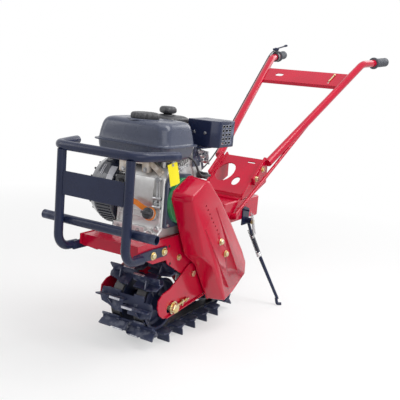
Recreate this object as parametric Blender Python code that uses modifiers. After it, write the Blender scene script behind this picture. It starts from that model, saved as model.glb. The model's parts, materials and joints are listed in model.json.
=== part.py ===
"""Walk-behind crawler trencher: a tracked carrier with a small petrol engine, a front guard,
a chain case on its left side, and two raised handles at the rear.

Metres. X points to the machine's left side, Y to its rear, Z up. The ground is Z = 0 and
X = 0 is the middle of the track.
"""
import math

import bmesh
import bpy
from mathutils import Matrix, Vector

# ---------------------------------------------------------------- driving dimensions
GAP = 0.0003                    # gap between pieces that touch
RUN = 0.0008                    # clearance round a piece that turns

# chassis
SIDE_OUT = 0.1000               # outer face of a main side plate
PLATE = 0.004                   # side plate and deck sheet
LOWER_PLATE = 0.004             # track side plate sheet
DECK_TOP = 0.333
FRAME_FRONT = -0.279
FRAME_REAR = 0.224
SIDE_TOP = 0.335
BOX_HALF = 0.080                # rear box, half width
BOX_TOP = 0.383
BOX_FLOOR = 0.309
BOX_REAR = 0.480
BOX_WALL = 0.004
LUG_T = 0.008
LUG_REACH = 0.032

# track
IDLER = (-0.090, 0.118)         # front wheel axle, (y, z)
ROLLER = (0.258, 0.086)         # rear lower wheel axle
DRIVE = (0.150, 0.192)          # drive shaft, also the centre of the chain case's lower end
CLEAT = 0.028                   # height of a cleat above its shoe
SHOE_T = 0.004
BAND_T = 0.008
SHOES = 16
SHOE_LEN = 0.050
SHOE_HALF = 0.060
CLEAT_HALF = 0.094
CLEAT_T = 0.005
STAGGER = 0.009                 # left and right cleats stand this far apart along the track
BAND_IN = 0.025                 # the two belt bands lie between these distances from X = 0
BAND_OUT = 0.056
DRIVE_BAND_R = 0.074            # belt radius round the drive wheel
AXLE_R = 0.012
TRACK_RUN = 0.0016              # slack between the belt and a wheel

# engine: the crankshaft lies along X
CRANK = (-0.085, 0.438)         # (y, z)
SLOPE = math.radians(25.0)      # cylinder above the horizontal
CASE_RIGHT = -0.075
CASE_LEFT = 0.085
SHAFT_R = 0.010
CYL_HALF = 0.055
CYL_START = 0.0755              # distances from the crankshaft, along the cylinder
HEAD_START = 0.1500
ROCKER_START = 0.1950
ROCKER_END = 0.2300
FIN_PITCH = 0.0093
FIN_T = 0.0030
HOUSING_OUT = -0.176            # recoil housing, outer face
HOUSING_R = 0.102
TANK = ((-0.148, 0.098), (-0.180, -0.014))     # tank plan, x and y limits
SEAM_Z = 0.592
TANK_FLOOR = 0.548
TANK_TOP = 0.658
SEAM_LIP = 0.009
SEAM_T = 0.004
CAP = (-0.025, -0.110)
CAP_R = 0.042
CAP_TOP = 0.676
NECK_R = 0.027
DISH_DEPTH = 0.004              # hollow round the filler neck
KNOB_FLOOR = 0.666              # top of the air cleaner's stud

# chain case
CASE_OUT_X = SIDE_OUT + 0.075
CASE_WALL = 0.003
BACK_X = SIDE_OUT + 0.0150                 # back plate, outer face
BACK_T = 0.004
ENGINE_SPROCKET_R = 0.030
DRIVE_SPROCKET_R = 0.050
CHAIN_T = 0.008
CHAIN_HALF = 0.006
SPROCKET_X = SIDE_OUT + 0.046

# front guard
TUBE_R = 0.0125
TUBE_WALL = 0.002
POST_X = SIDE_OUT + TUBE_R + GAP
POST_Y = -0.352
RAIL_Z = 0.584
RAIL_HALF = 0.172
RAIL_REACH = -0.227
CROSS_Z = 0.381
CROSS_HALF = 0.189
GUARD_PLATE = (0.454, 0.518)

# handles
HANDLE_R = 0.0145
HANDLE_FOOT = (0.092, 0.440, 0.474)
HANDLE_TOP = (0.205, 1.080, 0.881)
GRIP_END = (0.240, 1.272, 0.902)
GRIP_LEN = 0.105
GRIP_R = 0.0185
BRACKET_HALF = 0.078
BRACKET_T = 0.004
BRACE_R = 0.006

# stand
STAND_PIVOT = (0.094, 0.385, 0.305)
STAND_FOOT = (0.200, 0.466, 0.0055)
STAND_R = 0.0055

# side plates and bolts
ROLLER_PIN_R = 0.009
SIDE_EDGE = [(FRAME_FRONT, 0.306), (-0.204, 0.273), (-0.136, 0.271), (-0.128, 0.257), (-0.060, 0.218),
             (0.040, 0.160), (0.170, 0.140), (0.236, 0.074)]
SIDE_REAR = [(0.258, 0.170), (FRAME_REAR, 0.215), (FRAME_REAR, SIDE_TOP),
             (FRAME_FRONT, SIDE_TOP)]
DOUBLER_TOP = 0.212             # top edge of the track side plate
STRAP_BOLTS = ((-0.214, 0.300), (-0.161, 0.302))
HEAD_R = 0.0095
HEAD_T = 0.006

# engine details
CASE_FLOOR = DECK_TOP + GAP
TANK_STAYS = ((0.050, -0.112), (0.050, -0.062), (-0.050, -0.112), (-0.050, -0.062))
FILLER = ((0.055, -0.140, 0.392), (0.055, -0.176, 0.404))
FILLER_UP = (Vector(FILLER[1]) - Vector(FILLER[0])).normalized()
FILLER_BORE = tuple(Vector(FILLER[0]) - FILLER_UP * 0.022)
FILLER_END = tuple(Vector(FILLER[1]) + FILLER_UP * 0.010)
OIL_TAG_TURN = 20.0
CYL_X = -0.005
FAN_R = HOUSING_R - 0.012
ROPE_OUT = (0.0, math.cos(math.radians(40.0)), math.sin(math.radians(40.0)))
ROPE_R = HOUSING_R + 0.0015      # top of the boss round the rope's eye, from the crank's axis
ROPE_EYE = (CASE_RIGHT - 0.070, CRANK[0] + ROPE_R * ROPE_OUT[1], CRANK[1] + ROPE_R * ROPE_OUT[2])
ROPE_INSIDE = 0.170              # straight length of rope behind the eye
AIR_X = (-0.113, -0.007)
AIR_Y = (0.004, 0.112)
AIR_BASE = 0.5690
MUFFLER = ((0.014, 0.118), (0.060, 0.170), (0.580, 0.660))

# chain case details
CASE_EDGE = [(-0.072, 0.509), (-0.052, 0.509), (0.029, 0.439), (0.109, 0.358), (0.198, 0.259),
             (0.236, 0.209),
             (0.239, 0.161), (0.157, 0.115), (0.098, 0.097), (0.006, 0.230), (-0.058, 0.274), (-0.152,
                                                                                               0.452),
             (-0.146, 0.474)]
CHAIN_BOLTS = ((0.038, 0.309), (0.075, 0.265))
VENTS = ((-0.067, 0.432), (0.024, 0.335), 8)
RIBS = (((-0.060, 0.364), (0.117, 0.147)), ((-0.006, 0.418), (0.169, 0.192)))

# tag on the guard
TAG_AT = (0.1655, -0.247, RAIL_Z)
TAG_TURN = 72.0                 # the card hangs along the rail's arm
TAG_LEAN = 16.0
TAG_HALF = 0.016
TAG_LONG = 0.060

# handle details
EAR_BOLTS = ((0.418, 0.449), (0.463, 0.479))
FOOT_DIR = (Vector(HANDLE_TOP) - Vector(HANDLE_FOOT)).normalized()
HANDLE_START = tuple(Vector(HANDLE_FOOT) + FOOT_DIR * 0.050)
PLATE_ENDS = ((0.0, 0.930, 0.784), (0.0, 1.010, 0.835))
PLATE_HALF = 0.176
BRACE_FOOT = (BOX_HALF + GAP + 0.0075, 0.282, 0.333)
ON_HANDLE = 0.58
TOP_AXIS = Vector(HANDLE_FOOT).lerp(Vector(HANDLE_TOP), ON_HANDLE)
BRACE_TOP = tuple(TOP_AXIS)
CABLE_R = 0.0025
# throttle cable: from the clamp, along the right handle, to the engine's control plate
CABLE_ROUTE = [(-0.2156, 1.1232, 0.9115), (-0.2160, 1.1050, 0.9090), (-0.2175, 1.0800, 0.8930),
               (-0.2171, 1.0448, 0.8607), (-0.1946, 0.9168, 0.7793), (-0.1720, 0.7888, 0.6979),
               (-0.1494, 0.6608, 0.6165), (-0.1326, 0.5648, 0.5554), (-0.1214, 0.5008, 0.5147),
               (-0.1190, 0.4300, 0.4700), (-0.1120, 0.3400, 0.4400), (-0.1080, 0.2600, 0.4400),
               (-0.1000, 0.2000, 0.4700), (-0.0920, 0.1400, 0.4980), (-0.0900, 0.0930, 0.5095)]

RED = (0.62, 0.012, 0.035)
BLACK = (0.022, 0.026, 0.042)
TANK_GREY = (0.045, 0.047, 0.052)
ALLOY = (0.50, 0.48, 0.45)
GREEN = (0.02, 0.30, 0.09)
ZINC = (0.62, 0.50, 0.24)
STEEL = (0.42, 0.42, 0.43)
TRACK_BLACK = (0.020, 0.024, 0.038)
YELLOW = (0.95, 0.86, 0.02)
ORANGE = (0.90, 0.30, 0.02)
RUBBER = (0.050, 0.050, 0.055)

# ---------------------------------------------------------------- scene and helpers
for old in list(bpy.data.objects):
    bpy.data.objects.remove(old, do_unlink=True)

PARTS = bpy.data.collections.new("trencher")
CUTTERS = bpy.data.collections.new("cutters")
bpy.context.scene.collection.children.link(PARTS)
bpy.context.scene.collection.children.link(CUTTERS)

FROM_YZ = Matrix(((0, 0, 1), (1, 0, 0), (0, 1, 0))).to_4x4()      # flat XY drawing to the YZ plane
FROM_XZ = Matrix(((1, 0, 0), (0, 0, -1), (0, 1, 0))).to_4x4()     # flat XY drawing to the XZ plane
ALONG_X = Matrix.Rotation(math.radians(90), 4, "Y")               # Z axis to the X axis


def paint(obj, colour, roughness=0.4, metallic=0.0):
    """Give the object a material of its own."""
    mat = bpy.data.materials.new(obj.name)
    mat.use_nodes = True
    shader = mat.node_tree.nodes["Principled BSDF"]
    shader.inputs["Base Color"].default_value = (*colour, 1.0)
    shader.inputs["Roughness"].default_value = roughness
    shader.inputs["Metallic"].default_value = metallic
    obj.data.materials.clear()
    obj.data.materials.append(mat)
    return obj


def from_bmesh(name, build, place=None):
    """Make an object of the mesh that build() fills in, placed by a matrix."""
    mesh = bpy.data.meshes.new(name)
    work = bmesh.new()
    build(work)
    work.to_mesh(mesh)
    work.free()
    obj = bpy.data.objects.new(name, mesh)
    PARTS.objects.link(obj)
    if place is not None:
        obj.matrix_world = place
    return obj


def soften(obj, width, segments=1, angle=40):
    """Bevel the object's sharp edges."""
    if width > 0:
        bevel = obj.modifiers.new("bevel", "BEVEL")
        bevel.width = width
        bevel.segments = segments
        bevel.limit_method = "ANGLE"
        bevel.angle_limit = math.radians(angle)
    return obj


def box(name, low, high, bevel=0.0):
    """A block between two corners."""
    size = [b - a for a, b in zip(low, high)]
    middle = [(a + b) / 2 for a, b in zip(low, high)]

    def build(work):
        bmesh.ops.create_cube(work, size=1.0, matrix=Matrix.Diagonal((*size, 1.0)))
    return soften(from_bmesh(name, build, Matrix.Translation(middle)), bevel)


def rod(name, start, end, radius, sides=16, radius_end=None):
    """A round bar, or a cone, between two points."""
    start = Vector(start)
    along = Vector(end) - start

    def build(work):
        bmesh.ops.create_cone(work, cap_ends=True, segments=sides, radius1=radius,
                              radius2=radius if radius_end is None else radius_end, depth=along.length)
    turn = along.to_track_quat("Z", "Y").to_matrix().to_4x4()
    return from_bmesh(name, build, Matrix.Translation(start + along / 2) @ turn)


def turned(name, profile, centre, turn=None, steps=32, closed=False):
    """A turned piece: (radius, height) points, from the top down the outer side."""
    def build(work):
        points = [work.verts.new((radius, 0.0, height)) for radius, height in profile]
        for first, second in zip(points, points[1:] + (points[:1] if closed else [])):
            work.edges.new((first, second))
    obj = from_bmesh(name, build, Matrix.Translation(centre) @ (turn or Matrix.Identity(4)))
    screw = obj.modifiers.new("screw", "SCREW")
    screw.steps = steps
    screw.render_steps = steps
    screw.use_merge_vertices = True
    screw.merge_threshold = 0.00001
    return obj


def solid(curve):
    """Turn a curve object into a mesh object, its caps welded."""
    bpy.context.view_layer.update()
    state = bpy.context.evaluated_depsgraph_get()
    mesh = bpy.data.meshes.new_from_object(curve.evaluated_get(state))
    work = bmesh.new()
    work.from_mesh(mesh)
    bmesh.ops.remove_doubles(work, verts=work.verts, dist=0.000005)
    bmesh.ops.recalc_face_normals(work, faces=work.faces)
    work.to_mesh(mesh)
    work.free()
    name = curve.name
    place = curve.matrix_world.copy()
    bpy.data.objects.remove(curve, do_unlink=True)
    obj = bpy.data.objects.new(name, mesh)
    PARTS.objects.link(obj)
    obj.matrix_world = place
    return obj


def sheet(name, outlines, thickness, place, bevel=0.0):
    """A flat plate: the first outline is its edge and the rest are its holes."""
    curve = bpy.data.curves.new(name, "CURVE")
    curve.dimensions = "2D"
    curve.fill_mode = "BOTH"
    curve.extrude = thickness / 2
    for outline in outlines:
        spline = curve.splines.new("POLY")
        spline.points.add(len(outline) - 1)
        for point, (across, up) in zip(spline.points, outline):
            point.co = (across, up, 0.0, 1.0)
        spline.use_cyclic_u = True
    obj = bpy.data.objects.new(name, curve)
    PARTS.objects.link(obj)
    obj.matrix_world = place
    return soften(solid(obj), bevel)


def side_sheet(name, outlines, low_x, high_x, bevel=0.0):
    """A plate whose (y, z) outline stands across X."""
    place = Matrix.Translation(((low_x + high_x) / 2, 0, 0)) @ FROM_YZ
    return sheet(name, outlines, abs(high_x - low_x), place, bevel)


def level_sheet(name, outlines, low_z, high_z, bevel=0.0):
    """A plate whose (x, y) outline lies flat."""
    return sheet(name, outlines, high_z - low_z, Matrix.Translation((0, 0, (low_z + high_z) / 2)), bevel)


def tube(name, points, radius, resolution=2):
    """A bent tube through points, its ends closed."""
    curve = bpy.data.curves.new(name, "CURVE")
    curve.dimensions = "3D"
    curve.bevel_depth = radius
    curve.bevel_resolution = resolution
    curve.use_fill_caps = True
    spline = curve.splines.new("POLY")
    spline.points.add(len(points) - 1)
    for point, at in zip(spline.points, points):
        point.co = (*at, 1.0)
    obj = bpy.data.objects.new(name, curve)
    PARTS.objects.link(obj)
    return solid(obj)


def arc(centre, radius, start, end, steps):
    """Points of a flat arc; angles in degrees."""
    angles = [math.radians(start + (end - start) * step / steps) for step in range(steps + 1)]
    return [(centre[0] + radius * math.cos(a), centre[1] + radius * math.sin(a)) for a in angles]


def circle(centre, radius, sides=16):
    """A closed round outline."""
    return arc(centre, radius, 0, 360, sides)[:-1]


def rounded(points, radius, steps=3):
    """A bent route through points, each inner corner turned into an arc."""
    points = [Vector(point) for point in points]
    route = [points[0]]
    for before, corner, after in zip(points, points[1:], points[2:]):
        into = (before - corner).normalized()
        out = (after - corner).normalized()
        half = into.angle(out) / 2
        reach = radius / math.tan(half)
        centre = corner + (into + out).normalized() * (radius / math.sin(half))
        first = corner + into * reach - centre
        last = corner + out * reach - centre
        hinge = first.cross(last)
        swing = first.angle(last)
        for step in range(steps + 1):
            route.append(centre + Matrix.Rotation(swing * step / steps, 3, hinge) @ first)
    return route + [points[-1]]


def between(first, last, steps):
    """Evenly spaced points from one to another."""
    return [tuple(a + (b - a) * step / steps for a, b in zip(first, last)) for step in range(steps + 1)]


def combine(target, tool, operation):
    """Join a tool to the target, cut it away, or keep what both share."""
    for holder in list(tool.users_collection):
        holder.objects.unlink(tool)
    CUTTERS.objects.link(tool)
    tool.hide_render = True
    tool.display_type = "WIRE"
    boolean = target.modifiers.new(operation.lower(), "BOOLEAN")
    boolean.operation = operation
    boolean.solver = "EXACT"
    boolean.object = tool
    return target


def cut(target, *tools):
    """Cut every tool out of the target."""
    for tool in tools:
        combine(target, tool, "DIFFERENCE")
    return target


def join(target, *tools):
    """Weld every tool to the target."""
    for tool in tools:
        combine(target, tool, "UNION")
    return target


def pivot(name, at, *children):
    """An empty on a joint's axis that carries the moving pieces."""
    empty = bpy.data.objects.new(name, None)
    empty.location = at
    PARTS.objects.link(empty)
    for child in children:
        child.parent = empty
        child.matrix_parent_inverse = Matrix.Translation(at).inverted()
    return empty


# ---------------------------------------------------------------- chassis


def bolt_head(name, x, at, side, length=HEAD_T, radius=HEAD_R):
    """A hexagon head standing on a face across X; side is +1 or -1."""
    y, z = at
    return rod(name, (x, y, z), (x + side * length, y, z), radius, 6)


def chassis():
    """Main side plates, deck, cross members, and the rear box with its hitch lugs."""
    edge = SIDE_EDGE + arc(ROLLER, 0.024, -120, 10, 6) + SIDE_REAR
    holes = [circle(DRIVE, AXLE_R + RUN, 24), circle(ROLLER, ROLLER_PIN_R + GAP, 20)]
    for name, side in (("side_plate_left", 1), ("side_plate_right", -1)):
        plate = side_sheet(name, [edge, *holes], side * (SIDE_OUT - PLATE), side * SIDE_OUT)
        paint(plate, RED, 0.25)
    inner = SIDE_OUT - PLATE - GAP
    front = FRAME_FRONT + 0.008
    deck = box("engine_deck", (-inner, front, DECK_TOP - PLATE), (inner, FRAME_REAR, DECK_TOP))
    folds = [box("deck_front_fold", (-inner, front, 0.300), (inner, front + PLATE, DECK_TOP - 0.001)),
             box("deck_rear_fold", (-inner, FRAME_REAR - PLATE, 0.290),
                 (inner, FRAME_REAR, DECK_TOP - 0.001))]
    paint(join(deck, *folds), RED, 0.25)

    front = FRAME_REAR + GAP
    shell = box("rear_box", (-BOX_HALF, front, BOX_FLOOR), (BOX_HALF, BOX_REAR, BOX_TOP), 0.004)
    hollow = box("rear_box_hollow", (-BOX_HALF + BOX_WALL, front + BOX_WALL, BOX_FLOOR + BOX_WALL),
                 (BOX_HALF - BOX_WALL, BOX_REAR + 0.01, BOX_TOP - BOX_WALL))
    for name, low_z, high_z in (("hitch_lug_upper", BOX_TOP - 0.001, BOX_TOP + LUG_T),
                                ("hitch_lug_lower", BOX_FLOOR - LUG_T, BOX_FLOOR + 0.001)):
        end = arc((0.0, BOX_REAR + LUG_REACH - 0.022), 0.022, 0, 180, 8)
        outline = [(-0.034, BOX_REAR - 0.050), (0.034, BOX_REAR - 0.050)] + end
        hole = circle((0.0, BOX_REAR + LUG_REACH - 0.022), 0.008, 16)
        join(shell, level_sheet(name, [outline, hole], low_z, high_z))
    paint(cut(shell, hollow), RED, 0.25)


def track_plates():
    """The two plates that carry the front wheel, each with a flange along its lower edge."""
    edge = [(-0.166, 0.157), (-0.168, 0.135), (-0.158, 0.112), (-0.138, 0.096), (-0.125, 0.094),
            (0.205, 0.126), (0.205, 0.200), (0.030, DOUBLER_TOP + 0.028), (-0.020, DOUBLER_TOP + 0.020),
            (-0.050, DOUBLER_TOP), (-0.110, 0.179), (-0.145, 0.172)]
    slot_y, slot_z = IDLER
    slot = (arc((slot_y + 0.018, slot_z), AXLE_R + RUN, -90, 90, 8)
            + arc((slot_y - 0.018, slot_z), AXLE_R + RUN, 90, 270, 8))
    for name, side in (("track_plate_left", 1), ("track_plate_right", -1)):
        inner = side * (SIDE_OUT + GAP)
        outer = inner + side * LOWER_PLATE
        plate = side_sheet(name, [edge, slot, circle(DRIVE, AXLE_R + RUN, 24)], inner, outer)
        flange_edge = [(-0.125, 0.094), (0.205, 0.126), (0.205, 0.1295), (-0.125, 0.0975)]
        flange = side_sheet(name + "_flange", [flange_edge], inner, outer + side * 0.006)
        heads = [bolt_head(f"{name}_bolt_{at[0]:.3f}", outer - side * 0.0005, at, side)
                 for at in ((0.010, 0.200), (0.060, 0.190))]
        paint(join(plate, flange, *heads), RED, 0.25)


# ---------------------------------------------------------------- track
CREST = BAND_T / 2 + SHOE_T + CLEAT         # tip of a cleat above the middle of the belt
IDLER_BAND_R = IDLER[1] - CREST
ROLLER_BAND_R = ROLLER[1] - CREST
WHEELS = ((IDLER, IDLER_BAND_R), (ROLLER, ROLLER_BAND_R), (DRIVE, DRIVE_BAND_R))


def track_path():
    """The belt's loop as straight and round stretches, from the front wheel's lowest point on."""
    normals = []
    for (here, r_here), (there, r_there) in zip(WHEELS, WHEELS[1:] + WHEELS[:1]):
        away = Vector(there) - Vector(here)
        normals.append(math.atan2(away.y, away.x) - math.acos((r_here - r_there) / away.length))
    stretches = []
    for index, (here, r_here) in enumerate(WHEELS):
        there, r_there = WHEELS[(index + 1) % 3]
        angle = normals[index]
        facing = Vector((math.cos(angle), math.sin(angle)))
        stretches.append(("line", Vector(here) + facing * r_here, Vector(there) + facing * r_there))
        turn = (normals[(index + 1) % 3] - angle) % (2 * math.pi)
        stretches.append(("arc", Vector(there), r_there, angle, turn))
    return stretches


def along_track(distance):
    """Point and outward direction at a distance along the belt."""
    for stretch in STRETCHES * 2:
        if stretch[0] == "line":
            length = (stretch[2] - stretch[1]).length
            if distance <= length:
                heading = (stretch[2] - stretch[1]).normalized()
                return stretch[1] + heading * distance, Vector((heading.y, -heading.x))
        else:
            length = stretch[2] * stretch[4]
            if distance <= length:
                angle = stretch[3] + distance / stretch[2]
                facing = Vector((math.cos(angle), math.sin(angle)))
                return stretch[1] + facing * stretch[2], facing
        distance -= length
    return None


def stretch_length(stretch):
    """Length of one stretch of the belt."""
    return (stretch[2] - stretch[1]).length if stretch[0] == "line" else stretch[2] * stretch[4]


STRETCHES = track_path()
TRACK_PHASE = -IDLER[0] - STAGGER        # puts the tip of a left cleat at the origin
TRACK_LENGTH = sum(stretch_length(stretch) for stretch in STRETCHES)


def loop(offset, arc_steps=10):
    """The belt's closed outline, moved outward by an offset."""
    points = []
    for stretch in STRETCHES:
        if stretch[0] == "arc":
            steps = max(4, round(arc_steps * stretch[4] / math.pi))
            start, turn = math.degrees(stretch[3]), math.degrees(stretch[4])
            points += arc(stretch[1], stretch[2] + offset, start, start + turn, steps)
    return points


def shoe_outline():
    """A shoe's plate, across and along the belt: its wings taper back, and its back edge is notched."""
    half = SHOE_LEN / 2
    notch = 0.012
    outline = [(-SHOE_HALF, -half), (SHOE_HALF, -half)]
    outline += [(SHOE_HALF, STAGGER - 0.004), (CLEAT_HALF - 0.008, STAGGER - 0.004),
                (CLEAT_HALF, STAGGER + 0.010), (SHOE_HALF, half + STAGGER - 0.002)]
    outline += [(notch, half), (notch, half - 0.018), (-notch, half - 0.018), (-notch, half)]
    outline += [(-SHOE_HALF, half - STAGGER + 0.002), (-CLEAT_HALF, 0.010 - STAGGER),
                (-CLEAT_HALF + 0.008, -STAGGER - 0.004), (-SHOE_HALF, -STAGGER - 0.004)]
    return outline


def cleat_outline(side, low):
    """A cleat, across and above the belt: its outer end is notched like a fish's tail."""
    reach = CLEAT_HALF * side
    root = CLEAT_HALF - 0.007
    neck = CLEAT_HALF - 0.011
    low -= 0.001
    return [(-0.006 * side, low), (root * side, low), (neck * side, low + CLEAT * 0.45),
            (reach, low + CLEAT + 0.001), (-0.006 * side, low + CLEAT + 0.001)]


def track():
    """The belt: two bands, joined by shoes whose cleats stand staggered left and right."""
    belt = None
    for side in (1, -1):
        band = side_sheet("track_belt" if belt is None else "track_band_right",
                          [loop(BAND_T / 2), loop(-BAND_T / 2)], side * BAND_IN, side * BAND_OUT)
        belt = band if belt is None else join(belt, band)
    top = BAND_T / 2 + SHOE_T
    for index in range(SHOES):
        at = TRACK_PHASE + index * TRACK_LENGTH / SHOES
        tag = f"shoe_{index + 1:02d}"
        middle, facing = along_track(at % TRACK_LENGTH)
        heading = Vector((-facing.y, facing.x))
        flat = Matrix(((1, 0, 0), (0, heading.x, facing.x), (0, heading.y, facing.y))).to_4x4()
        across = Matrix(((1, 0, 0), (0, facing.x, -heading.x), (0, facing.y, -heading.y))).to_4x4()
        centre = Matrix.Translation((0, middle.x, middle.y))
        depth = SHOE_T + 0.0015
        place = centre @ flat @ Matrix.Translation((0, 0, top - depth / 2))
        shoe = sheet(tag, [shoe_outline()], depth, place)
        for side in (1, -1):
            place = centre @ across @ Matrix.Translation((0, 0, -side * STAGGER))
            shoe = join(shoe, sheet(f"{tag}_cleat_{side}", [cleat_outline(side, top)], CLEAT_T, place))
        join(belt, shoe)
    paint(belt, TRACK_BLACK, 0.5)


def wheel_side(band_r, flange_r, hub_r, half=0.068):
    """Left half of a track wheel's profile: a tread with its flange and web, on the hub."""
    tread = band_r - BAND_T / 2 - TRACK_RUN
    edge = BAND_OUT + 0.002
    return [(hub_r, half), (hub_r, 0.034), (tread - 0.006, 0.034), (tread - 0.006, edge + 0.004),
            (flange_r, edge + 0.004), (flange_r, edge), (tread, edge), (tread, 0.026), (hub_r, 0.026)]


def track_wheels():
    """Front wheel, rear lower wheel and drive wheel, with their axles."""
    for name, (y, z), band_r, flange_r in (("idler_wheel", IDLER, IDLER_BAND_R, IDLER_BAND_R + 0.0010),
                                           ("roller_wheel", ROLLER, ROLLER_BAND_R, ROLLER_BAND_R + 0.0010)):
        side = wheel_side(band_r, flange_r, 0.022)
        bore = AXLE_R + RUN
        profile = side + [(radius, -height) for radius, height in reversed(side)]
        profile += [(bore, -side[0][1]), (bore, side[0][1])]
        piece = turned(name, profile, (0, y, z), ALONG_X, 24, closed=True)
        paint(piece, TRACK_BLACK, 0.45)
        pivot(name + "_axis", (0, y, z), piece)

    y, z = IDLER
    reach = SIDE_OUT + GAP + LOWER_PLATE + GAP
    axle = rod("idler_axle", (-reach - 0.016, y, z), (reach + 0.016, y, z), AXLE_R, 24)
    for side in (1, -1):
        washer = rod(f"idler_washer_{side}", (side * reach, y, z), (side * (reach + 0.003), y, z), 0.0165,
                     24)
        nut = rod(f"idler_nut_{side}", (side * (reach + 0.0025), y, z), (side * (reach + 0.013), y, z),
                  0.0155, 6)
        join(axle, washer, nut)
    paint(axle, ZINC, 0.35, 1.0)

    y, z = ROLLER
    reach = SIDE_OUT - PLATE - GAP
    pin = rod("roller_axle", (-SIDE_OUT - 0.004, y, z), (SIDE_OUT + 0.004, y, z), ROLLER_PIN_R, 20)
    sleeve = rod("roller_sleeve", (-reach, y, z), (reach, y, z), AXLE_R, 20)
    join(pin, sleeve)
    for side in (1, -1):
        head = SIDE_OUT + GAP
        join(pin, rod(f"roller_head_{side}", (side * head, y, z), (side * (head + 0.008), y, z), 0.015, 6))
    paint(pin, ZINC, 0.35, 1.0)


def drive_wheel():
    """The driven shaft with the track's toothed wheel and the chain's driven sprocket."""
    y, z = DRIVE
    shaft = rod("track_drive", (-SIDE_OUT - LOWER_PLATE - 0.008, y, z), (SPROCKET_X + 0.012, y, z), AXLE_R,
                24)
    tooth_r = DRIVE_BAND_R + BAND_T / 2 - 0.0030
    root_r = DRIVE_BAND_R - 0.014
    teeth = 11
    outline = []
    for tooth in range(teeth):
        for step, radius in ((0.0, root_r), (0.22, root_r), (0.36, tooth_r), (0.50, tooth_r),
                             (0.64, root_r)):
            angle = 2 * math.pi * (tooth + step) / teeth
            outline.append((y + radius * math.cos(angle), z + radius * math.sin(angle)))
    core = BAND_IN - 0.004
    join(shaft, side_sheet("track_teeth", [outline], -core, -core + 0.008),
         side_sheet("track_teeth_left", [outline], core - 0.008, core),
         rod("track_hub", (-core - 0.002, y, z), (core + 0.002, y, z), 0.026, 24))
    join(shaft, rod("drive_sprocket", (SPROCKET_X - 0.003, y, z), (SPROCKET_X + 0.003, y, z),
                    DRIVE_SPROCKET_R, 28))
    paint(shaft, STEEL, 0.4, 1.0)
    pivot("track_drive_axis", (0, y, z), shaft)


# ---------------------------------------------------------------- engine


def on_cylinder(u, v):
    """A point (y, z) at u along the cylinder and v above its axis."""
    return (CRANK[0] + u * math.cos(SLOPE) - v * math.sin(SLOPE),
            CRANK[1] + u * math.sin(SLOPE) + v * math.cos(SLOPE))


def crankcase():
    """Crankcase casting with feet, its side cover, oil filler and drain plug."""
    y, z = CRANK
    flat = CYL_START - GAP
    edge = [(-0.168, CASE_FLOOR), (0.030, CASE_FLOOR), (0.030, CASE_FLOOR + 0.014),
            (0.012, CASE_FLOOR + 0.026),
            on_cylinder(flat, -0.058), on_cylinder(flat, 0.062), (-0.125, 0.528), (-0.152, 0.500),
            (-0.152, CASE_FLOOR + 0.026), (-0.168, CASE_FLOOR + 0.014)]
    case = side_sheet("crankcase", [edge], CASE_RIGHT, CASE_LEFT, 0.003)
    bore = rod("case_bore", (CASE_RIGHT - 0.01, y, z), (CASE_LEFT + 0.01, y, z), SHAFT_R + RUN, 24)
    filler = rod("filler_neck", FILLER[0], FILLER[1], 0.016, 20)
    filler_bore = rod("filler_bore", FILLER_BORE, FILLER_END, 0.0105 + RUN, 20)
    stays = [rod(f"tank_stay_{index + 1}", (x, at_y, 0.500), (x, at_y, TANK_FLOOR - GAP), 0.008, 12)
             for index, (x, at_y) in enumerate(TANK_STAYS)]
    plug = rod("drain_plug", (CASE_LEFT - 0.030, -0.160, CASE_FLOOR + 0.0105),
               (CASE_LEFT - 0.030, -0.176, CASE_FLOOR + 0.0105), 0.0075, 6)
    cut(join(case, filler, plug, *stays), bore, filler_bore)
    paint(case, ALLOY, 0.5, 0.9)

    cover_edge = [(-0.150, CASE_FLOOR + 0.030), (0.004, CASE_FLOOR + 0.030), (0.004, 0.420),
                  (-0.030, 0.508),
                  (-0.120, 0.518), (-0.150, 0.492)]
    cover = side_sheet("crankcase_cover", [cover_edge, circle(CRANK, SHAFT_R + RUN, 24)],
                       CASE_LEFT + GAP, CASE_LEFT + 0.012, 0.002)
    paint(cover, ALLOY, 0.45, 0.9)

    ring = [circle(CRANK, 0.066, 28), circle(CRANK, SHAFT_R + RUN, 24)]
    flange = side_sheet("pto_flange", ring, CASE_LEFT + 0.012 + GAP, BACK_X - BACK_T - GAP, 0.001)
    paint(flange, GREEN, 0.4)


def oil_cap():
    """Dipstick cap that screws into the filler neck, with the tag tied round the neck."""
    mouth = Vector(FILLER[1])
    seat = mouth + FILLER_UP * GAP
    cap = rod("oil_dipstick", seat, seat + FILLER_UP * 0.012, 0.0165, 16)
    stem = rod("dipstick_stem", seat - FILLER_UP * 0.040, seat + FILLER_UP * 0.001, 0.0105, 20)
    grip = box("dipstick_grip", (-0.0035, -0.014, 0.0), (0.0035, 0.014, 0.010))
    turn = FILLER_UP.to_track_quat("Z", "X").to_matrix().to_4x4()
    grip.matrix_world = Matrix.Translation(seat + FILLER_UP * 0.011) @ turn @ grip.matrix_world
    paint(join(cap, stem, grip), BLACK, 0.5)
    pivot("oil_dipstick_axis", seat, cap)

    loop_r = 0.016
    ring = turned("oil_tag", [(loop_r + 0.0022, 0.0008), (loop_r + 0.0022, -0.0008),
                              (loop_r + GAP, -0.0008),
                              (loop_r + GAP, 0.0008)],
                  mouth - FILLER_UP * 0.006, turn, 24, closed=True)
    strip = box("oil_tag_strip", (-0.008, loop_r + 0.001, -0.0008), (0.008, loop_r + 0.048, 0.0008))
    lean = Matrix.Rotation(math.radians(OIL_TAG_TURN), 4, "Z")
    strip.matrix_world = Matrix.Translation(mouth - FILLER_UP * 0.006) @ turn @ lean @ strip.matrix_world
    paint(join(ring, strip), ORANGE, 0.5)


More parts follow.
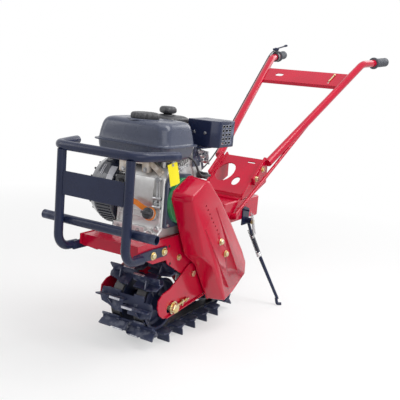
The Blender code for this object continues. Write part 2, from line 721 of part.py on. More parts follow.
def cylinder():
    """Finned cylinder, finned head, rocker cover and spark plug, all on the sloping axis."""
    def comb(name, start, end, half, height, fins_from, fins_to):
        """A block with cooling fins above and below, drawn along the cylinder."""
        core = height - 0.016
        top = [(start, core)]
        count = int((fins_to - fins_from) / FIN_PITCH)
        for fin in range(count):
            at = fins_from + fin * FIN_PITCH
            top += [(at, core), (at, height), (at + FIN_T, height), (at + FIN_T, core)]
        top.append((end, core))
        outline = top + [(u, -v) for u, v in reversed(top)]
        outline = [on_cylinder(u, v) for u, v in outline]
        clean = [p for i, p in enumerate(outline) if (Vector(p) - Vector(outline[i - 1])).length > 1e-6]
        return side_sheet(name, [clean], CYL_X - half, CYL_X + half)

    barrel = comb("cylinder", CYL_START, HEAD_START, CYL_HALF, 0.058, CYL_START + 0.006, HEAD_START)
    paint(barrel, ALLOY, 0.55, 0.9)
    head = comb("cylinder_head", HEAD_START + GAP, ROCKER_START, CYL_HALF + 0.004, 0.060,
                HEAD_START + 0.006, ROCKER_START - 0.006)
    paint(head, ALLOY, 0.55, 0.9)
    corners = ((ROCKER_START + GAP, -0.040), (ROCKER_END, -0.034), (ROCKER_END, 0.034),
               (ROCKER_START + GAP, 0.040))
    cover = side_sheet("rocker_cover", [[on_cylinder(u, v) for u, v in corners]],
                       CYL_X - 0.046, CYL_X + 0.046, 0.005)
    paint(cover, BLACK, 0.45)
    plug_at = (CYL_X + CYL_HALF + 0.004 + GAP, *on_cylinder(0.172, -0.022))
    tip = (plug_at[0] + 0.034, plug_at[1], plug_at[2])
    plug = rod("spark_plug_cap", plug_at, tip, 0.0095, 16, 0.0115)
    paint(plug, BLACK, 0.5)


def recoil():
    """Fan housing with its slotted dome, the flywheel inside it, and the starter's pull grip."""
    y, z = CRANK
    rim = CASE_RIGHT - GAP
    outer = [(HOUSING_R - 0.001, rim), (HOUSING_R, rim - 0.060), (HOUSING_R - 0.012, rim - 0.084),
             (HOUSING_R - 0.040, HOUSING_OUT)]
    profile = [(radius, x) for radius, x in outer] + [(0.012, HOUSING_OUT), (0.012, HOUSING_OUT + 0.003)]
    profile += [(HOUSING_R - 0.0415, HOUSING_OUT + 0.003), (HOUSING_R - 0.0150, rim - 0.0825),
                (HOUSING_R - 0.0035, rim - 0.059), (HOUSING_R - 0.0045, rim - 0.003), (0.060, rim - 0.003),
                (0.060, rim)]
    # heights run along X; the housing's rim is nearest the crankcase
    shell = turned("recoil_housing", profile, (0, y, z), ALONG_X, 28, closed=True)
    foot = box("housing_foot", (-SIDE_OUT + PLATE + GAP, y - 0.055, DECK_TOP + GAP),
               (rim - 0.01, y + 0.055, z - HOUSING_R + 0.010))
    bore = [(0.0, rim + 0.010), (HOUSING_R - 0.002, rim + 0.010), (HOUSING_R - 0.002, HOUSING_OUT - 0.010),
            (0.0, HOUSING_OUT - 0.010)]
    hollow = turned("housing_hollow", bore, (0, y, z), ALONG_X, 36)
    join(shell, cut(foot, hollow))
    slots = 8
    for index in range(slots):
        angle = 2 * math.pi * (index + 0.5) / slots
        centre = Vector((HOUSING_OUT, y + 0.044 * math.cos(angle), z + 0.044 * math.sin(angle)))
        slot = box(f"housing_slot_{index + 1}", (-0.01, -0.016, -0.004), (0.01, 0.016, 0.004))
        slot.matrix_world = Matrix.Translation(centre) @ Matrix.Rotation(angle, 4, "X")
        cut(shell, slot)
    eye = Vector(ROPE_EYE)
    out = Vector(ROPE_OUT)
    join(shell, rod("rope_boss", eye - out * 0.0075, eye, 0.012, 20))
    cut(shell, rod("rope_eye", eye - out * 0.03, eye + out * 0.03, 0.0045, 12))
    paint(shell, BLACK, 0.35)

    wheel_x = rim - 0.008
    rim_line = [(0.0, wheel_x), (0.050, wheel_x), (FAN_R, wheel_x - 0.006), (FAN_R, wheel_x - 0.026),
                (FAN_R - 0.008, wheel_x - 0.034), (0.050, wheel_x - 0.040), (0.0, wheel_x - 0.040)]
    fan = turned("crankshaft", rim_line, (0, y, z), ALONG_X, 28)
    shaft = rod("crank_bar", (wheel_x - 0.002, y, z), (SPROCKET_X + 0.012, y, z), SHAFT_R, 24)
    sprocket = rod("engine_sprocket", (SPROCKET_X - 0.003, y, z), (SPROCKET_X + 0.003, y, z),
                   ENGINE_SPROCKET_R, 20)
    paint(join(fan, shaft, sprocket), STEEL, 0.4, 1.0)
    pivot("crankshaft_axis", (0, y, z), fan)

    grip = rod("recoil_grip", eye + out * GAP, eye + out * 0.023, 0.010, 16, 0.013)
    bar = rod("grip_bar", eye + out * 0.018 - Vector((0.028, 0, 0)),
              eye + out * 0.018 + Vector((0.028, 0, 0)),
              0.0075, 14)
    cord = rod("grip_cord", eye - out * ROPE_INSIDE, eye + out * 0.005, 0.0020, 8)
    paint(join(grip, bar, cord), BLACK, 0.5)
    pivot("recoil_grip_axis", eye, grip)


def rounded_plan(half_x, half_y, radius, steps=4):
    """A rectangle's outline with round corners, about the origin."""
    outline = []
    for sign_x, sign_y, start in ((1, 1, 0), (-1, 1, 90), (-1, -1, 180), (1, -1, 270)):
        centre = (sign_x * (half_x - radius), sign_y * (half_y - radius))
        outline += arc(centre, radius, start, start + 90, steps)
    return outline


def lofted(name, middle, levels, steps=4):
    """A solid through round-cornered rectangles: (height, half_x, half_y, corner radius)."""
    def build(work):
        rings = []
        for height, half_x, half_y, radius in levels:
            rings.append([work.verts.new((x, y, height)) for x,
                          y in rounded_plan(half_x, half_y, radius, steps)])
        for low, high in zip(rings, rings[1:]):
            for index, vert in enumerate(low):
                work.faces.new((low[index - 1], vert, high[index], high[index - 1]))
        work.faces.new(list(reversed(rings[0])))
        work.faces.new(rings[-1])
        bmesh.ops.recalc_face_normals(work, faces=work.faces)
    return from_bmesh(name, build, Matrix.Translation((*middle, 0)))


def tank():
    """Fuel tank with its seam lip, filler neck and fluted cap."""
    (x0, x1), (y0, y1) = TANK
    middle = ((x0 + x1) / 2, (y0 + y1) / 2)
    half_x, half_y = (x1 - x0) / 2, (y1 - y0) / 2
    under = SEAM_Z - SEAM_T / 2
    over = SEAM_Z + SEAM_T / 2
    shrinks = [(TANK_FLOOR, 0.020, 0.020), (TANK_FLOOR + 0.010, 0.006, 0.022), (under, 0.0, 0.026),
               (under, -SEAM_LIP, 0.032), (over, -SEAM_LIP, 0.032), (over, 0.0, 0.028),
               (TANK_TOP - 0.022, 0.006, 0.032), (TANK_TOP - 0.009, 0.011, 0.034),
               (TANK_TOP - 0.002, 0.020, 0.030), (TANK_TOP, 0.032, 0.024)]
    levels = [(height, half_x - shrink, half_y - shrink, corner) for height, shrink, corner in shrinks]
    body = lofted("fuel_tank", middle, levels)
    x, y = CAP
    dish = rod("tank_dish", (x, y, TANK_TOP - DISH_DEPTH), (x, y, TANK_TOP + 0.010), CAP_R + 0.006, 32)
    cut(body, dish)
    hollow = rod("tank_hollow", (x, y, TANK_TOP - 0.040), (x, y, TANK_TOP + 0.010), NECK_R - 0.003, 24)
    neck = rod("tank_neck", (x, y, TANK_TOP - 0.010), (x, y, TANK_TOP - 0.001), NECK_R, 24)
    paint(cut(join(body, neck), hollow), TANK_GREY, 0.35)

    floor = TANK_TOP - 0.001 + GAP
    lobes = 12
    edge = []
    for step in range(lobes * 4):
        angle = 2 * math.pi * step / (lobes * 4)
        radius = CAP_R - 0.0025 * (1 if step % 4 == 0 else 0)
        edge.append((x + radius * math.cos(angle), y + radius * math.sin(angle)))
    lid = level_sheet("fuel_cap", [edge], floor, CAP_TOP, 0.002)
    plug = rod("cap_plug", (x, y, floor - 0.018), (x, y, floor + 0.001), NECK_R - 0.003 - RUN, 24)
    paint(join(lid, plug), RUBBER, 0.6)
    pivot("fuel_cap_axis", (x, y, floor), lid)


def intake():
    """Carburettor, air cleaner with its cover and knob, and the choke lever."""
    base = box("air_cleaner_base", (AIR_X[0], AIR_Y[0], AIR_BASE), (AIR_X[1], AIR_Y[1], AIR_BASE + 0.010),
               0.003)
    paint(base, BLACK, 0.5)
    middle = ((AIR_X[0] + AIR_X[1]) / 2, (AIR_Y[0] + AIR_Y[1]) / 2)
    half = ((AIR_X[1] - AIR_X[0]) / 2, (AIR_Y[1] - AIR_Y[0]) / 2)
    floor = AIR_BASE + 0.010 + GAP
    cover = lofted("air_cleaner_cover", middle,
                   [(floor, half[0] - 0.002, half[1] - 0.002, 0.014),
                    (0.640, half[0] - 0.002, half[1] - 0.002, 0.016),
                    (0.641, half[0], half[1], 0.018), (0.656, half[0], half[1], 0.018),
                    (0.664, half[0] - 0.008, half[1] - 0.008, 0.020)], 3)
    stud = rod("air_stud", (*middle, 0.660), (*middle, KNOB_FLOOR), 0.012, 16)
    paint(join(cover, stud), BLACK, 0.5)
    seat = KNOB_FLOOR + GAP
    knob = turned("air_cleaner_knob", [(0.0, 0.689), (0.017, 0.689), (0.0225, 0.686), (0.0245, 0.676),
                                       (0.0245, seat), (0.0, seat)], (*middle, 0), None, 24)
    wings = [box(f"knob_wing_{index}", (-0.029, -0.005, 0.0), (0.029, 0.005, 0.014)) for index in range(3)]
    for index, wing in enumerate(wings):
        turn = Matrix.Rotation(math.pi * index / 3, 4, "Z")
        wing.matrix_world = Matrix.Translation((*middle, seat + 0.001)) @ turn @ wing.matrix_world
    paint(join(knob, *wings), BLACK, 0.45)
    pivot("air_cleaner_knob_axis", (*middle, 0.680), knob)

    carb_x = CYL_X - CYL_HALF - 0.004 - GAP
    y, z = on_cylinder(0.170, 0.004)
    body = box("carburettor", (carb_x - 0.050, y - 0.024, z - 0.022), (carb_x, y + 0.024, z + 0.022), 0.003)
    bowl = rod("carburettor_bowl", (carb_x - 0.027, y, z - 0.046), (carb_x - 0.027, y, z - 0.020), 0.021,
               20)
    elbow = box("carburettor_elbow", (carb_x - 0.046, y - 0.018, z + 0.020),
                (carb_x - 0.010, y + 0.018, AIR_BASE - GAP))
    paint(join(body, bowl, elbow), ALLOY, 0.45, 0.9)
    pin_x = carb_x - 0.050 - GAP
    lever = rod("choke_lever", (pin_x - 0.005, y, z), (pin_x, y, z), 0.007, 16)
    arm = box("choke_arm", (pin_x - 0.0045, y - 0.004, z), (pin_x - 0.0015, y + 0.004, z + 0.034))
    paint(join(lever, arm), BLACK, 0.5)
    pivot("choke_lever_axis", (pin_x, y, z), lever)


def exhaust():
    """Muffler, its slotted guard and the stay that carries it on the head."""
    (x0, x1), (y0, y1), (z0, z1) = MUFFLER
    chamfer = 0.022
    plan = [(x0, y0), (x1 - chamfer, y0), (x1, y0 + chamfer), (x1, y1), (x0, y1)]
    guard = level_sheet("muffler_guard", [plan], z0, z1, 0.002)
    inner = [(x0 + 0.002, y0 + 0.002), (x1 - chamfer - 0.001, y0 + 0.002),
             (x1 - 0.002, y0 + chamfer + 0.001),
             (x1 - 0.002, y1 - 0.002), (x0 + 0.002, y1 - 0.002)]
    hollow = level_sheet("guard_hollow", [inner], z0 - 0.01, z1 - 0.002)
    cut(guard, hollow)
    for column in range(3):
        for row in range(5):
            y = y0 + chamfer + 0.018 + column * 0.020
            z = z0 + 0.014 + row * 0.0125
            cut(guard, box(f"guard_slot_{column}_{row}", (x1 - 0.01, y - 0.006, z - 0.003),
                           (x1 + 0.01, y + 0.006, z + 0.003)))
    paint(guard, BLACK, 0.5)
    gap = 0.005
    body = box("muffler", (x0 + gap, y0 + gap, z0 + 0.003), (x1 - chamfer - 0.002, y1 - gap, z1 - gap),
               0.006)
    pipe = box("muffler_pipe", (CYL_X + 0.0465, 0.062, 0.5610),
               (CYL_X + CYL_HALF + 0.003, 0.073, z0 + 0.006))
    paint(join(body, pipe), STEEL, 0.5, 0.8)
    stay = box("muffler_stay", (CYL_X + CYL_HALF + 0.004 + GAP, 0.038, 0.518),
               (CYL_X + CYL_HALF + 0.007, 0.080, z0 - 0.001))
    shelf = box("stay_shelf", (CYL_X + CYL_HALF + 0.0045, 0.038, z0 - 0.0035),
                (x1 - 0.030, 0.120, z0 - GAP))
    paint(join(stay, shelf), BLACK, 0.5)


def controls():
    """Engine switch box, the governor arm on the crankcase and its link."""
    switch_box = box("switch_box", (CASE_RIGHT + 0.006, -0.1545, 0.452),
                     (CASE_RIGHT + 0.046, -0.152 - GAP, 0.500))
    block = box("switch_block", (CASE_RIGHT + 0.008, -0.176, 0.454), (CASE_RIGHT + 0.044, -0.153, 0.498))
    paint(join(switch_box, block), BLACK, 0.5)
    rocker_y = -0.176 - GAP
    rocker = rod("engine_switch", (CASE_RIGHT + 0.026, rocker_y - 0.006, 0.476),
                 (CASE_RIGHT + 0.026, rocker_y, 0.476), 0.012, 20)
    bar = box("switch_bar", (CASE_RIGHT + 0.023, rocker_y - 0.011, 0.465),
              (CASE_RIGHT + 0.029, rocker_y - 0.005, 0.487))
    paint(join(rocker, bar), RED, 0.4)
    pivot("engine_switch_axis", (CASE_RIGHT + 0.026, rocker_y, 0.476), rocker)

    arm_y = -0.152 - GAP
    boss = rod("governor_arm", (0.068, arm_y - 0.010, 0.512 - 0.012), (0.068, arm_y, 0.512 - 0.012), 0.008,
               16)
    lever = box("governor_lever", (0.065, arm_y - 0.009, 0.430), (0.071, arm_y - 0.005, 0.500))
    foot = rod("governor_foot", (0.068, arm_y - 0.012, 0.432), (0.068, arm_y - 0.003, 0.432), 0.007, 12)
    paint(join(boss, lever, foot), STEEL, 0.4, 1.0)
    pivot("governor_arm_axis", (0.068, arm_y, 0.500), boss)


# ---------------------------------------------------------------- chain case


def inset(outline, distance):
    """The outline moved inward along its corners' bisectors."""
    points = [Vector(point) for point in outline]
    area = sum(a.x * b.y - a.y * b.x for a, b in zip(points, points[1:] + points[:1]))
    sign = 1 if area > 0 else -1
    moved = []
    for index, here in enumerate(points):
        into = (here - points[index - 1]).normalized()
        out = (points[(index + 1) % len(points)] - here).normalized()
        left = Vector((-into.y - out.y, into.x + out.x)) * sign
        scale = distance / max(0.2, (left.length / 2) ** 2)
        moved.append(tuple(here + left / 2 * scale))
    return moved


def tapered(name, edge, low_x, high_x, draft):
    """A block across X whose outline narrows by the draft towards the outer face."""
    def build(work):
        low = [work.verts.new((low_x, y, z)) for y, z in edge]
        high = [work.verts.new((high_x, y, z)) for y, z in inset(edge, draft)]
        for index, vert in enumerate(low):
            work.faces.new((low[index - 1], vert, high[index], high[index - 1]))
        work.faces.new(list(reversed(low)))
        work.faces.new(high)
        bmesh.ops.recalc_face_normals(work, faces=work.faces)
    return from_bmesh(name, build)


def chain_case():
    """Back plate, outer cover with ribs and vents, the cover's bolts and the chain inside."""
    back_edge = CASE_EDGE
    holes = [circle(CRANK, SHAFT_R + RUN, 24), circle(DRIVE, AXLE_R + RUN, 24)]
    plate = side_sheet("chain_case_back", [back_edge, *holes], BACK_X - BACK_T, BACK_X)
    posts = [rod(f"case_post_{index}", (BACK_X - 0.001, y, z), (CASE_OUT_X - 0.008, y, z), 0.009, 16)
             for index, (y, z) in enumerate(CHAIN_BOLTS)]
    paint(join(plate, *posts), RED, 0.25)

    cover = tapered("chain_case_cover", CASE_EDGE, BACK_X - 0.012, CASE_OUT_X, 0.007)
    cover = soften(cover, 0.006, 2, 25)
    hollow = tapered("cover_hollow", inset(CASE_EDGE, CASE_WALL), BACK_X - 0.020, CASE_OUT_X - CASE_WALL,
                     0.007)
    waste = box("cover_waste", (BACK_X - 0.030, -0.200, 0.050), (BACK_X + GAP, 0.300, 0.600))
    for index, (start, end) in enumerate(RIBS):
        ridge = tube(f"cover_rib_{index + 1}",
                     [(CASE_OUT_X - 0.0005, *start), (CASE_OUT_X - 0.0005, *end)], 0.0025, 1)
        join(cover, ridge)
    cut(cover, hollow, waste)
    first, last, count = VENTS
    for index, (y, z) in enumerate(between(first, last, count - 1)):
        cut(cover, rod(f"cover_vent_{index + 1}", (CASE_OUT_X - 0.02, y, z), (CASE_OUT_X + 0.01, y, z),
                       0.0034, 6))
    for index, (y, z) in enumerate(CHAIN_BOLTS):
        washer = rod(f"cover_washer_{index + 1}", (CASE_OUT_X - 0.001, y, z), (CASE_OUT_X + 0.0020, y, z),
                     0.0105, 20)
        head = rod(f"cover_head_{index + 1}", (CASE_OUT_X + 0.0015, y, z), (CASE_OUT_X + 0.0080, y, z),
                   0.0080, 6)
        join(cover, washer, head)
    paint(cover, RED, 0.2)

    clear = 0.0010
    outer_turn = []
    for grow in (clear + CHAIN_T, clear):
        away = Vector(DRIVE) - Vector(CRANK)
        base = math.degrees(math.atan2(away.y, away.x))
        lean = math.degrees(math.acos((DRIVE_SPROCKET_R - ENGINE_SPROCKET_R) / away.length))
        big = arc(DRIVE, DRIVE_SPROCKET_R + grow, base - (180 - lean), base + (180 - lean), 20)
        small = arc(CRANK, ENGINE_SPROCKET_R + grow, base + (180 - lean), base + 360 - (180 - lean), 12)
        outer_turn.append(big + small)
    chain = side_sheet("drive_chain", outer_turn, SPROCKET_X - CHAIN_HALF, SPROCKET_X + CHAIN_HALF)
    paint(chain, STEEL, 0.5, 1.0)


# ---------------------------------------------------------------- front guard
def guard():
    """Bent tube guard: two posts with bolted straps, a top rail, a cross tube and a plate."""
    rail_y = POST_Y
    corner = 0.045
    route = rounded([(-RAIL_HALF, RAIL_REACH, RAIL_Z), (-POST_X - 0.020, rail_y, RAIL_Z),
                     (POST_X + 0.020, rail_y, RAIL_Z), (RAIL_HALF, RAIL_REACH, RAIL_Z)], corner, 5)
    rail = tube("guard_top_rail", route, TUBE_R)
    for side in (1, -1):
        end = Vector((side * RAIL_HALF, RAIL_REACH, RAIL_Z))
        inward = (Vector((side * (POST_X + 0.020), rail_y, RAIL_Z)) - end).normalized()
        cut(rail, rod(f"rail_bore_{side}", end - inward * 0.01, end + inward * 0.03, TUBE_R - TUBE_WALL,
                      16))
    paint(rail, BLACK, 0.35)
    for name, side in (("guard_post_left", 1), ("guard_post_right", -1)):
        foot = Vector((side * POST_X, POST_Y + 0.075, 0.303))
        bend = rounded([(side * POST_X, POST_Y, RAIL_Z - 0.004), (side * POST_X, POST_Y, 0.306),
                        tuple(foot)],
                       0.042, 5)
        post = tube(name, bend, TUBE_R)
        seat = tube(f"{name}_seat", route, TUBE_R + GAP)
        cut(post, seat)
        strap_x = side * (SIDE_OUT + GAP)
        strap_edge = [(-0.300, 0.291), (-0.145, 0.288), (-0.145, 0.315), (-0.215, 0.318), (-0.300, 0.315)]
        strap = side_sheet(f"{name}_strap", [strap_edge], strap_x, strap_x + side * 0.006)
        heads = [bolt_head(f"{name}_bolt_{index}", strap_x + side * 0.0055, at, side)
                 for index, at in enumerate(STRAP_BOLTS)]
        paint(join(post, strap, *heads), BLACK, 0.35)
    cross_y = POST_Y + 2 * TUBE_R + GAP
    cross = rod("guard_cross_tube", (-CROSS_HALF, cross_y, CROSS_Z), (CROSS_HALF, cross_y, CROSS_Z),
                TUBE_R, 24)
    for side in (1, -1):
        cut(cross, rod(f"cross_bore_{side}", (side * (CROSS_HALF + 0.01), cross_y, CROSS_Z),
                       (side * (CROSS_HALF - 0.04), cross_y, CROSS_Z), TUBE_R - TUBE_WALL, 20))
    paint(cross, BLACK, 0.35)
    inner = POST_X - TUBE_R * 0.95
    low, high = GUARD_PLATE
    plate = box("guard_plate", (-inner, POST_Y - 0.006, low), (inner, POST_Y - 0.002, high))
    paint(plate, BLACK, 0.4)


def tag():
    """Blank tag hung on the left arm of the guard's top rail."""
    at = Vector(TAG_AT)
    card = box("hang_tag", (-TAG_HALF, -0.0006, -TAG_LONG), (TAG_HALF, 0.0006, 0.0))
    lean = math.radians(TAG_LEAN)
    drop = Vector((0, 0, -TUBE_R - GAP - TAG_HALF * math.sin(lean)))
    turn = Matrix.Rotation(math.radians(TAG_TURN), 4, "Z") @ Matrix.Rotation(-lean, 4, "Y")
    card.matrix_world = Matrix.Translation(at + drop) @ turn @ card.matrix_world
    paint(card, YELLOW, 0.5)


# ---------------------------------------------------------------- handles
def bracket():
    """Folded sheet bracket on the rear box that carries both handles."""
    base_y, base_z = 0.336, BOX_TOP + GAP
    half = BRACKET_HALF
    slope = Vector((0.503 - base_y, 0.508 - 0.390)).normalized()
    normal = Vector((-slope.y, slope.x))
    start = Vector((base_y + 0.012, 0.3965))
    length = 0.190
    place = (Matrix.Translation((0, start.x, start.y))
             @ Matrix(((1, 0, 0), (0, slope.x, normal.x), (0, slope.y, normal.y))).to_4x4())
    face_edge = [(-half, 0), (half, 0), (half, length), (-half, length)]
    big = [(-0.038 + 0.034 * math.cos(a), 0.100 + 0.050 * math.sin(a))
           for a in (2 * math.pi * step / 16 for step in range(16))]
    small = [(0.022 + 0.014 * math.cos(a), 0.062 + 0.022 * math.sin(a))
             for a in (2 * math.pi * step / 12 for step in range(12))]
    slot = [(0.020, 0.163), (0.050, 0.163), (0.050, 0.171), (0.020, 0.171)]
    face = sheet("handle_bracket", [face_edge, big, small, slot], BRACKET_T, place)
    foot = box("bracket_foot", (-half, base_y - 0.020, base_z), (half, start.x + 0.010, base_z + BRACKET_T))
    riser = box("bracket_riser", (-half, start.x - 0.003, base_z + 0.001),
                (half, start.x + 0.007, start.y + 0.004))
    join(face, foot, riser)
    for side in (1, -1):
        edge = [(0.340, base_z + 0.0006), (0.430, base_z + 0.008), (0.523, 0.425), (0.521, 0.500),
                (0.507, 0.516), (0.346, 0.4035)]
        holes = [circle(at, 0.0045, 12) for at in EAR_BOLTS]
        ear = side_sheet(f"bracket_ear_{side}", [edge, *holes], side * (half - 0.0015),
                         side * (half + BRACKET_T))
        join(face, ear)
    paint(face, RED, 0.25)


def handle_route(side):
    """The handle tube's centre line, from the bracket to the grip's end."""
    corner = [(side * x, y, z) for x, y, z in (HANDLE_START, HANDLE_TOP, GRIP_END)]
    return rounded(corner, 0.090, 5)


def handles():
    """Handle tubes with flat bolted feet, grips, cross plate and the brace rod."""
    for name, side in (("handle_left", 1), ("handle_right", -1)):
        arm = tube(name, handle_route(side), HANDLE_R)
        ear = BRACKET_HALF + BRACKET_T + GAP
        along = Vector((EAR_BOLTS[1][0] - EAR_BOLTS[0][0], EAR_BOLTS[1][1] - EAR_BOLTS[0][1])).normalized()
        across = Vector((-along.y, along.x)) * 0.016
        low = Vector(EAR_BOLTS[0]) - along * 0.018
        high = Vector((HANDLE_START[1], HANDLE_START[2])) + along * 0.012
        foot_edge = [tuple(low - across), tuple(high - across), tuple(high + across), tuple(low + across)]
        foot = side_sheet(f"{name}_foot", [foot_edge], side * ear, side * (ear + 0.010))
        blend_at = Vector((side * HANDLE_START[0], HANDLE_START[1], HANDLE_START[2]))
        blend = rod(f"{name}_blend", blend_at - Vector((side * FOOT_DIR.x, FOOT_DIR.y, FOOT_DIR.z)) * 0.012,
                    blend_at + Vector((side * FOOT_DIR.x, FOOT_DIR.y,
                                       FOOT_DIR.z)) * 0.008, 0.010, 16, HANDLE_R * 0.85)
        heads = [bolt_head(f"{name}_bolt_{index}", side * (ear + 0.0095), at, side)
                 for index, at in enumerate(EAR_BOLTS)]
        stems = [rod(f"{name}_stem_{index}", (side * (BRACKET_HALF + 0.0005), *at),
                     (side * (ear + 0.002), *at), 0.0038, 12)
                 for index, at in enumerate(EAR_BOLTS)]
        paint(join(arm, foot, blend, *heads, *stems), RED, 0.2)

        top = Vector((side * HANDLE_TOP[0], HANDLE_TOP[1], HANDLE_TOP[2]))
        end = Vector((side * GRIP_END[0], GRIP_END[1], GRIP_END[2]))
        out = (end - top).normalized()
        grip_end = end + out * 0.006
        grip_start = end - out * (GRIP_LEN - 0.006)
        grip = rod(f"grip_{name[7:]}", grip_start, grip_end, GRIP_R, 20)
        collar = rod(f"grip_collar_{side}", grip_start - out * 0.001, grip_start + out * 0.005,
                     GRIP_R + 0.006, 20)
        bore = rod(f"grip_bore_{side}", grip_start - out * 0.01, end + out * GAP, HANDLE_R + GAP, 16)
        paint(cut(join(grip, collar), bore), RUBBER, 0.8)

    low, high = (Vector(at) for at in PLATE_ENDS)
    slope = (high - low).normalized()
    normal = Vector((0, -slope.z, slope.y))
    place = (Matrix.Translation(((0, *((low + high) / 2).yz)))
             @ Matrix(((1, 0, 0), (0, slope.y, normal.y), (0, slope.z, normal.z))).to_4x4())
    reach = (high - low).length / 2
    wide = PLATE_HALF
    slot = [(-0.118, -0.006), (-0.078, -0.006), (-0.078, 0.006), (-0.118, 0.006)]
    plate = sheet("handle_cross_plate", [[(-wide, -reach), (wide, -reach), (wide, reach), (-wide, reach)],
                                         slot],
                  0.004, place)
    lip = box("plate_lip", (-wide, -reach, -0.014), (wide, -reach + 0.004, 0.001))
    lip.matrix_world = place @ lip.matrix_world
    join(plate, lip)
    for side in (1, -1):
        seat = tube(f"plate_seat_{side}", handle_route(side), HANDLE_R + GAP)
        cut(plate, seat)
    paint(plate, RED, 0.25)


def brace():
    """Thin rod from the rear box up to the underside of the left handle."""
    foot = Vector(BRACE_FOOT)
    top = Vector(BRACE_TOP)
    bar = rod("handle_brace", foot, top, BRACE_R, 14)
    cut(bar, tube("brace_seat", handle_route(1), HANDLE_R + GAP))
    lug = rod("brace_eye", foot - Vector((0.0075, 0, 0)), foot + Vector((0.0075, 0, 0)), 0.012, 20)
    pin = bolt_head("brace_bolt", foot.x + 0.007, (foot.y, foot.z), 1)
    paint(join(bar, lug, pin), RED, 0.25)


def throttle():
    """Throttle clamp and lever on the right handle, and the cable down to the engine."""
    top = Vector((-HANDLE_TOP[0], HANDLE_TOP[1], HANDLE_TOP[2]))
    end = Vector((-GRIP_END[0], GRIP_END[1], GRIP_END[2]))
    out = (end - top).normalized()
    at = end - out * (GRIP_LEN + 0.032)
    clamp = rod("throttle_clamp", at - out * 0.011, at + out * 0.011, HANDLE_R + 0.006, 20)
    up = Vector((0, -out.z, out.y)).normalized()
    base = at + up * (HANDLE_R + 0.004)
    seat = rod("throttle_seat", base, base + up * 0.012, 0.012, 16)
    join(clamp, seat)
    bore = rod("clamp_bore", at - out * 0.03, at + out * 0.03, HANDLE_R + GAP, 16)
    paint(cut(clamp, bore), BLACK, 0.5)
    hub = base + up * (0.012 + GAP)
    lever = rod("throttle_lever", hub, hub + up * 0.008, 0.014, 20)
    side = out.cross(up).normalized()
    arm_end = hub + up * 0.006 + out * 0.050 * 0.5 + side * 0.050 * 0.8 + up * 0.012
    arm = rod("lever_arm", hub + up * 0.004, arm_end, 0.0042, 10)
    knob = rod("lever_knob", arm_end - up * 0.004, arm_end + up * 0.008, 0.0075, 12)
    paint(join(lever, arm, knob), BLACK, 0.45)
    empty = pivot("throttle_lever_axis", hub, lever)
    return clamp, empty


def smooth_route(points, steps):
    """Points of a smooth curve through hand-placed route points."""
    points = [Vector(point) for point in points]
    ends = [points[0] * 2 - points[1]] + points + [points[-1] * 2 - points[-2]]
    route = []
    for index in range(1, len(ends) - 2):
        a, b, c, d = ends[index - 1:index + 3]
        for step in range(steps):
            t = step / steps
            route.append(0.5 * (2 * b + (c - a) * t + (2 * a - 5 * b + 4 * c - d) * t * t
                                + (3 * b - a - 3 * c + d) * t * t * t))
    return route + [points[-1]]


def cable():
    """The throttle cable."""
    line = tube("throttle_cable", smooth_route(CABLE_ROUTE, 3), CABLE_R, 1)
    paint(line, BLACK, 0.5)


# ---------------------------------------------------------------- stand
def stand():
    """Swinging prop stand on a bracket at the left of the rear box."""
    pivot_at = Vector(STAND_PIVOT)
    foot = Vector(STAND_FOOT)
    y, z = pivot_at.y, pivot_at.z
    inner = BOX_HALF + GAP
    edge = [(y - 0.030, z - 0.014), (y + 0.016, z - 0.014), (y + 0.016, z + 0.040), (y - 0.030, z + 0.056)]
    mount = side_sheet("stand_bracket", [edge], inner, inner + 0.005)
    pin = rod("stand_pin", (inner + 0.002, y, z), (pivot_at.x + 0.012, y, z), 0.005, 20)
    head = rod("stand_head", (pivot_at.x + 0.0075, y, z), (pivot_at.x + 0.0135, y, z), 0.0095, 6)
    paint(join(mount, pin, head), BLACK, 0.5)

    low_x = inner + 0.005 + GAP
    eye = rod("stand_leg", (low_x, y, z), (pivot_at.x + 0.0072, y, z), 0.011, 24)
    knee = pivot_at + Vector((0.010, 0.022, -0.060))
    start = Vector((pivot_at.x + 0.001, y, z - 0.004))
    bar = tube("stand_bar", rounded([start, tuple(knee), tuple(foot + Vector((0, 0, 0.018)))], 0.05, 3),
               STAND_R)
    toe = tube("stand_toe", [foot + Vector((-0.004, -0.003, 0.022)), foot,
                             foot + Vector((0.012, 0.010, 0.0))], STAND_R)
    down = (foot - knee).normalized()
    collar_at = knee + down * 0.060
    collar = rod("stand_collar", collar_at, collar_at + down * 0.016, 0.0095, 16)
    bore = rod("stand_bore", (low_x - 0.01, y, z), (pivot_at.x + 0.02, y, z), 0.005 + RUN, 20)
    paint(cut(join(eye, bar, collar, toe), bore), BLACK, 0.5)
    pivot("stand_leg_axis", tuple(pivot_at), eye)

    hook = rod("spring_peg", (inner + 0.002, y - 0.022, z + 0.040),
               (pivot_at.x + 0.010, y - 0.022, z + 0.040), 0.003, 12)
    join(mount, hook)
    top = Vector((pivot_at.x + 0.018, y - 0.020, z + 0.036))
    bottom = Vector((pivot_at.x + 0.021, y + 0.016, z - 0.052))
    spring = rod("stand_spring", top, bottom, 0.0055, 14)
    paint(spring, STEEL, 0.4, 1.0)


chassis()
track_plates()
track()
track_wheels()
drive_wheel()
crankcase()
oil_cap()
cylinder()
recoil()
tank()
intake()
exhaust()
controls()
chain_case()
guard()
tag()
bracket()
handles()
brace()
throttle()
cable()
stand()
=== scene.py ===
"""Looks of the walk-behind crawler trencher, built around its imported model.

Metres. X points to the machine's left, Y to its rear and Z up; the ground is Z = 0.
"""
import json
import random
from math import acos, atan2, cos, pi, radians, sin, tan

import bmesh
import bpy
from mathutils import Matrix, Vector


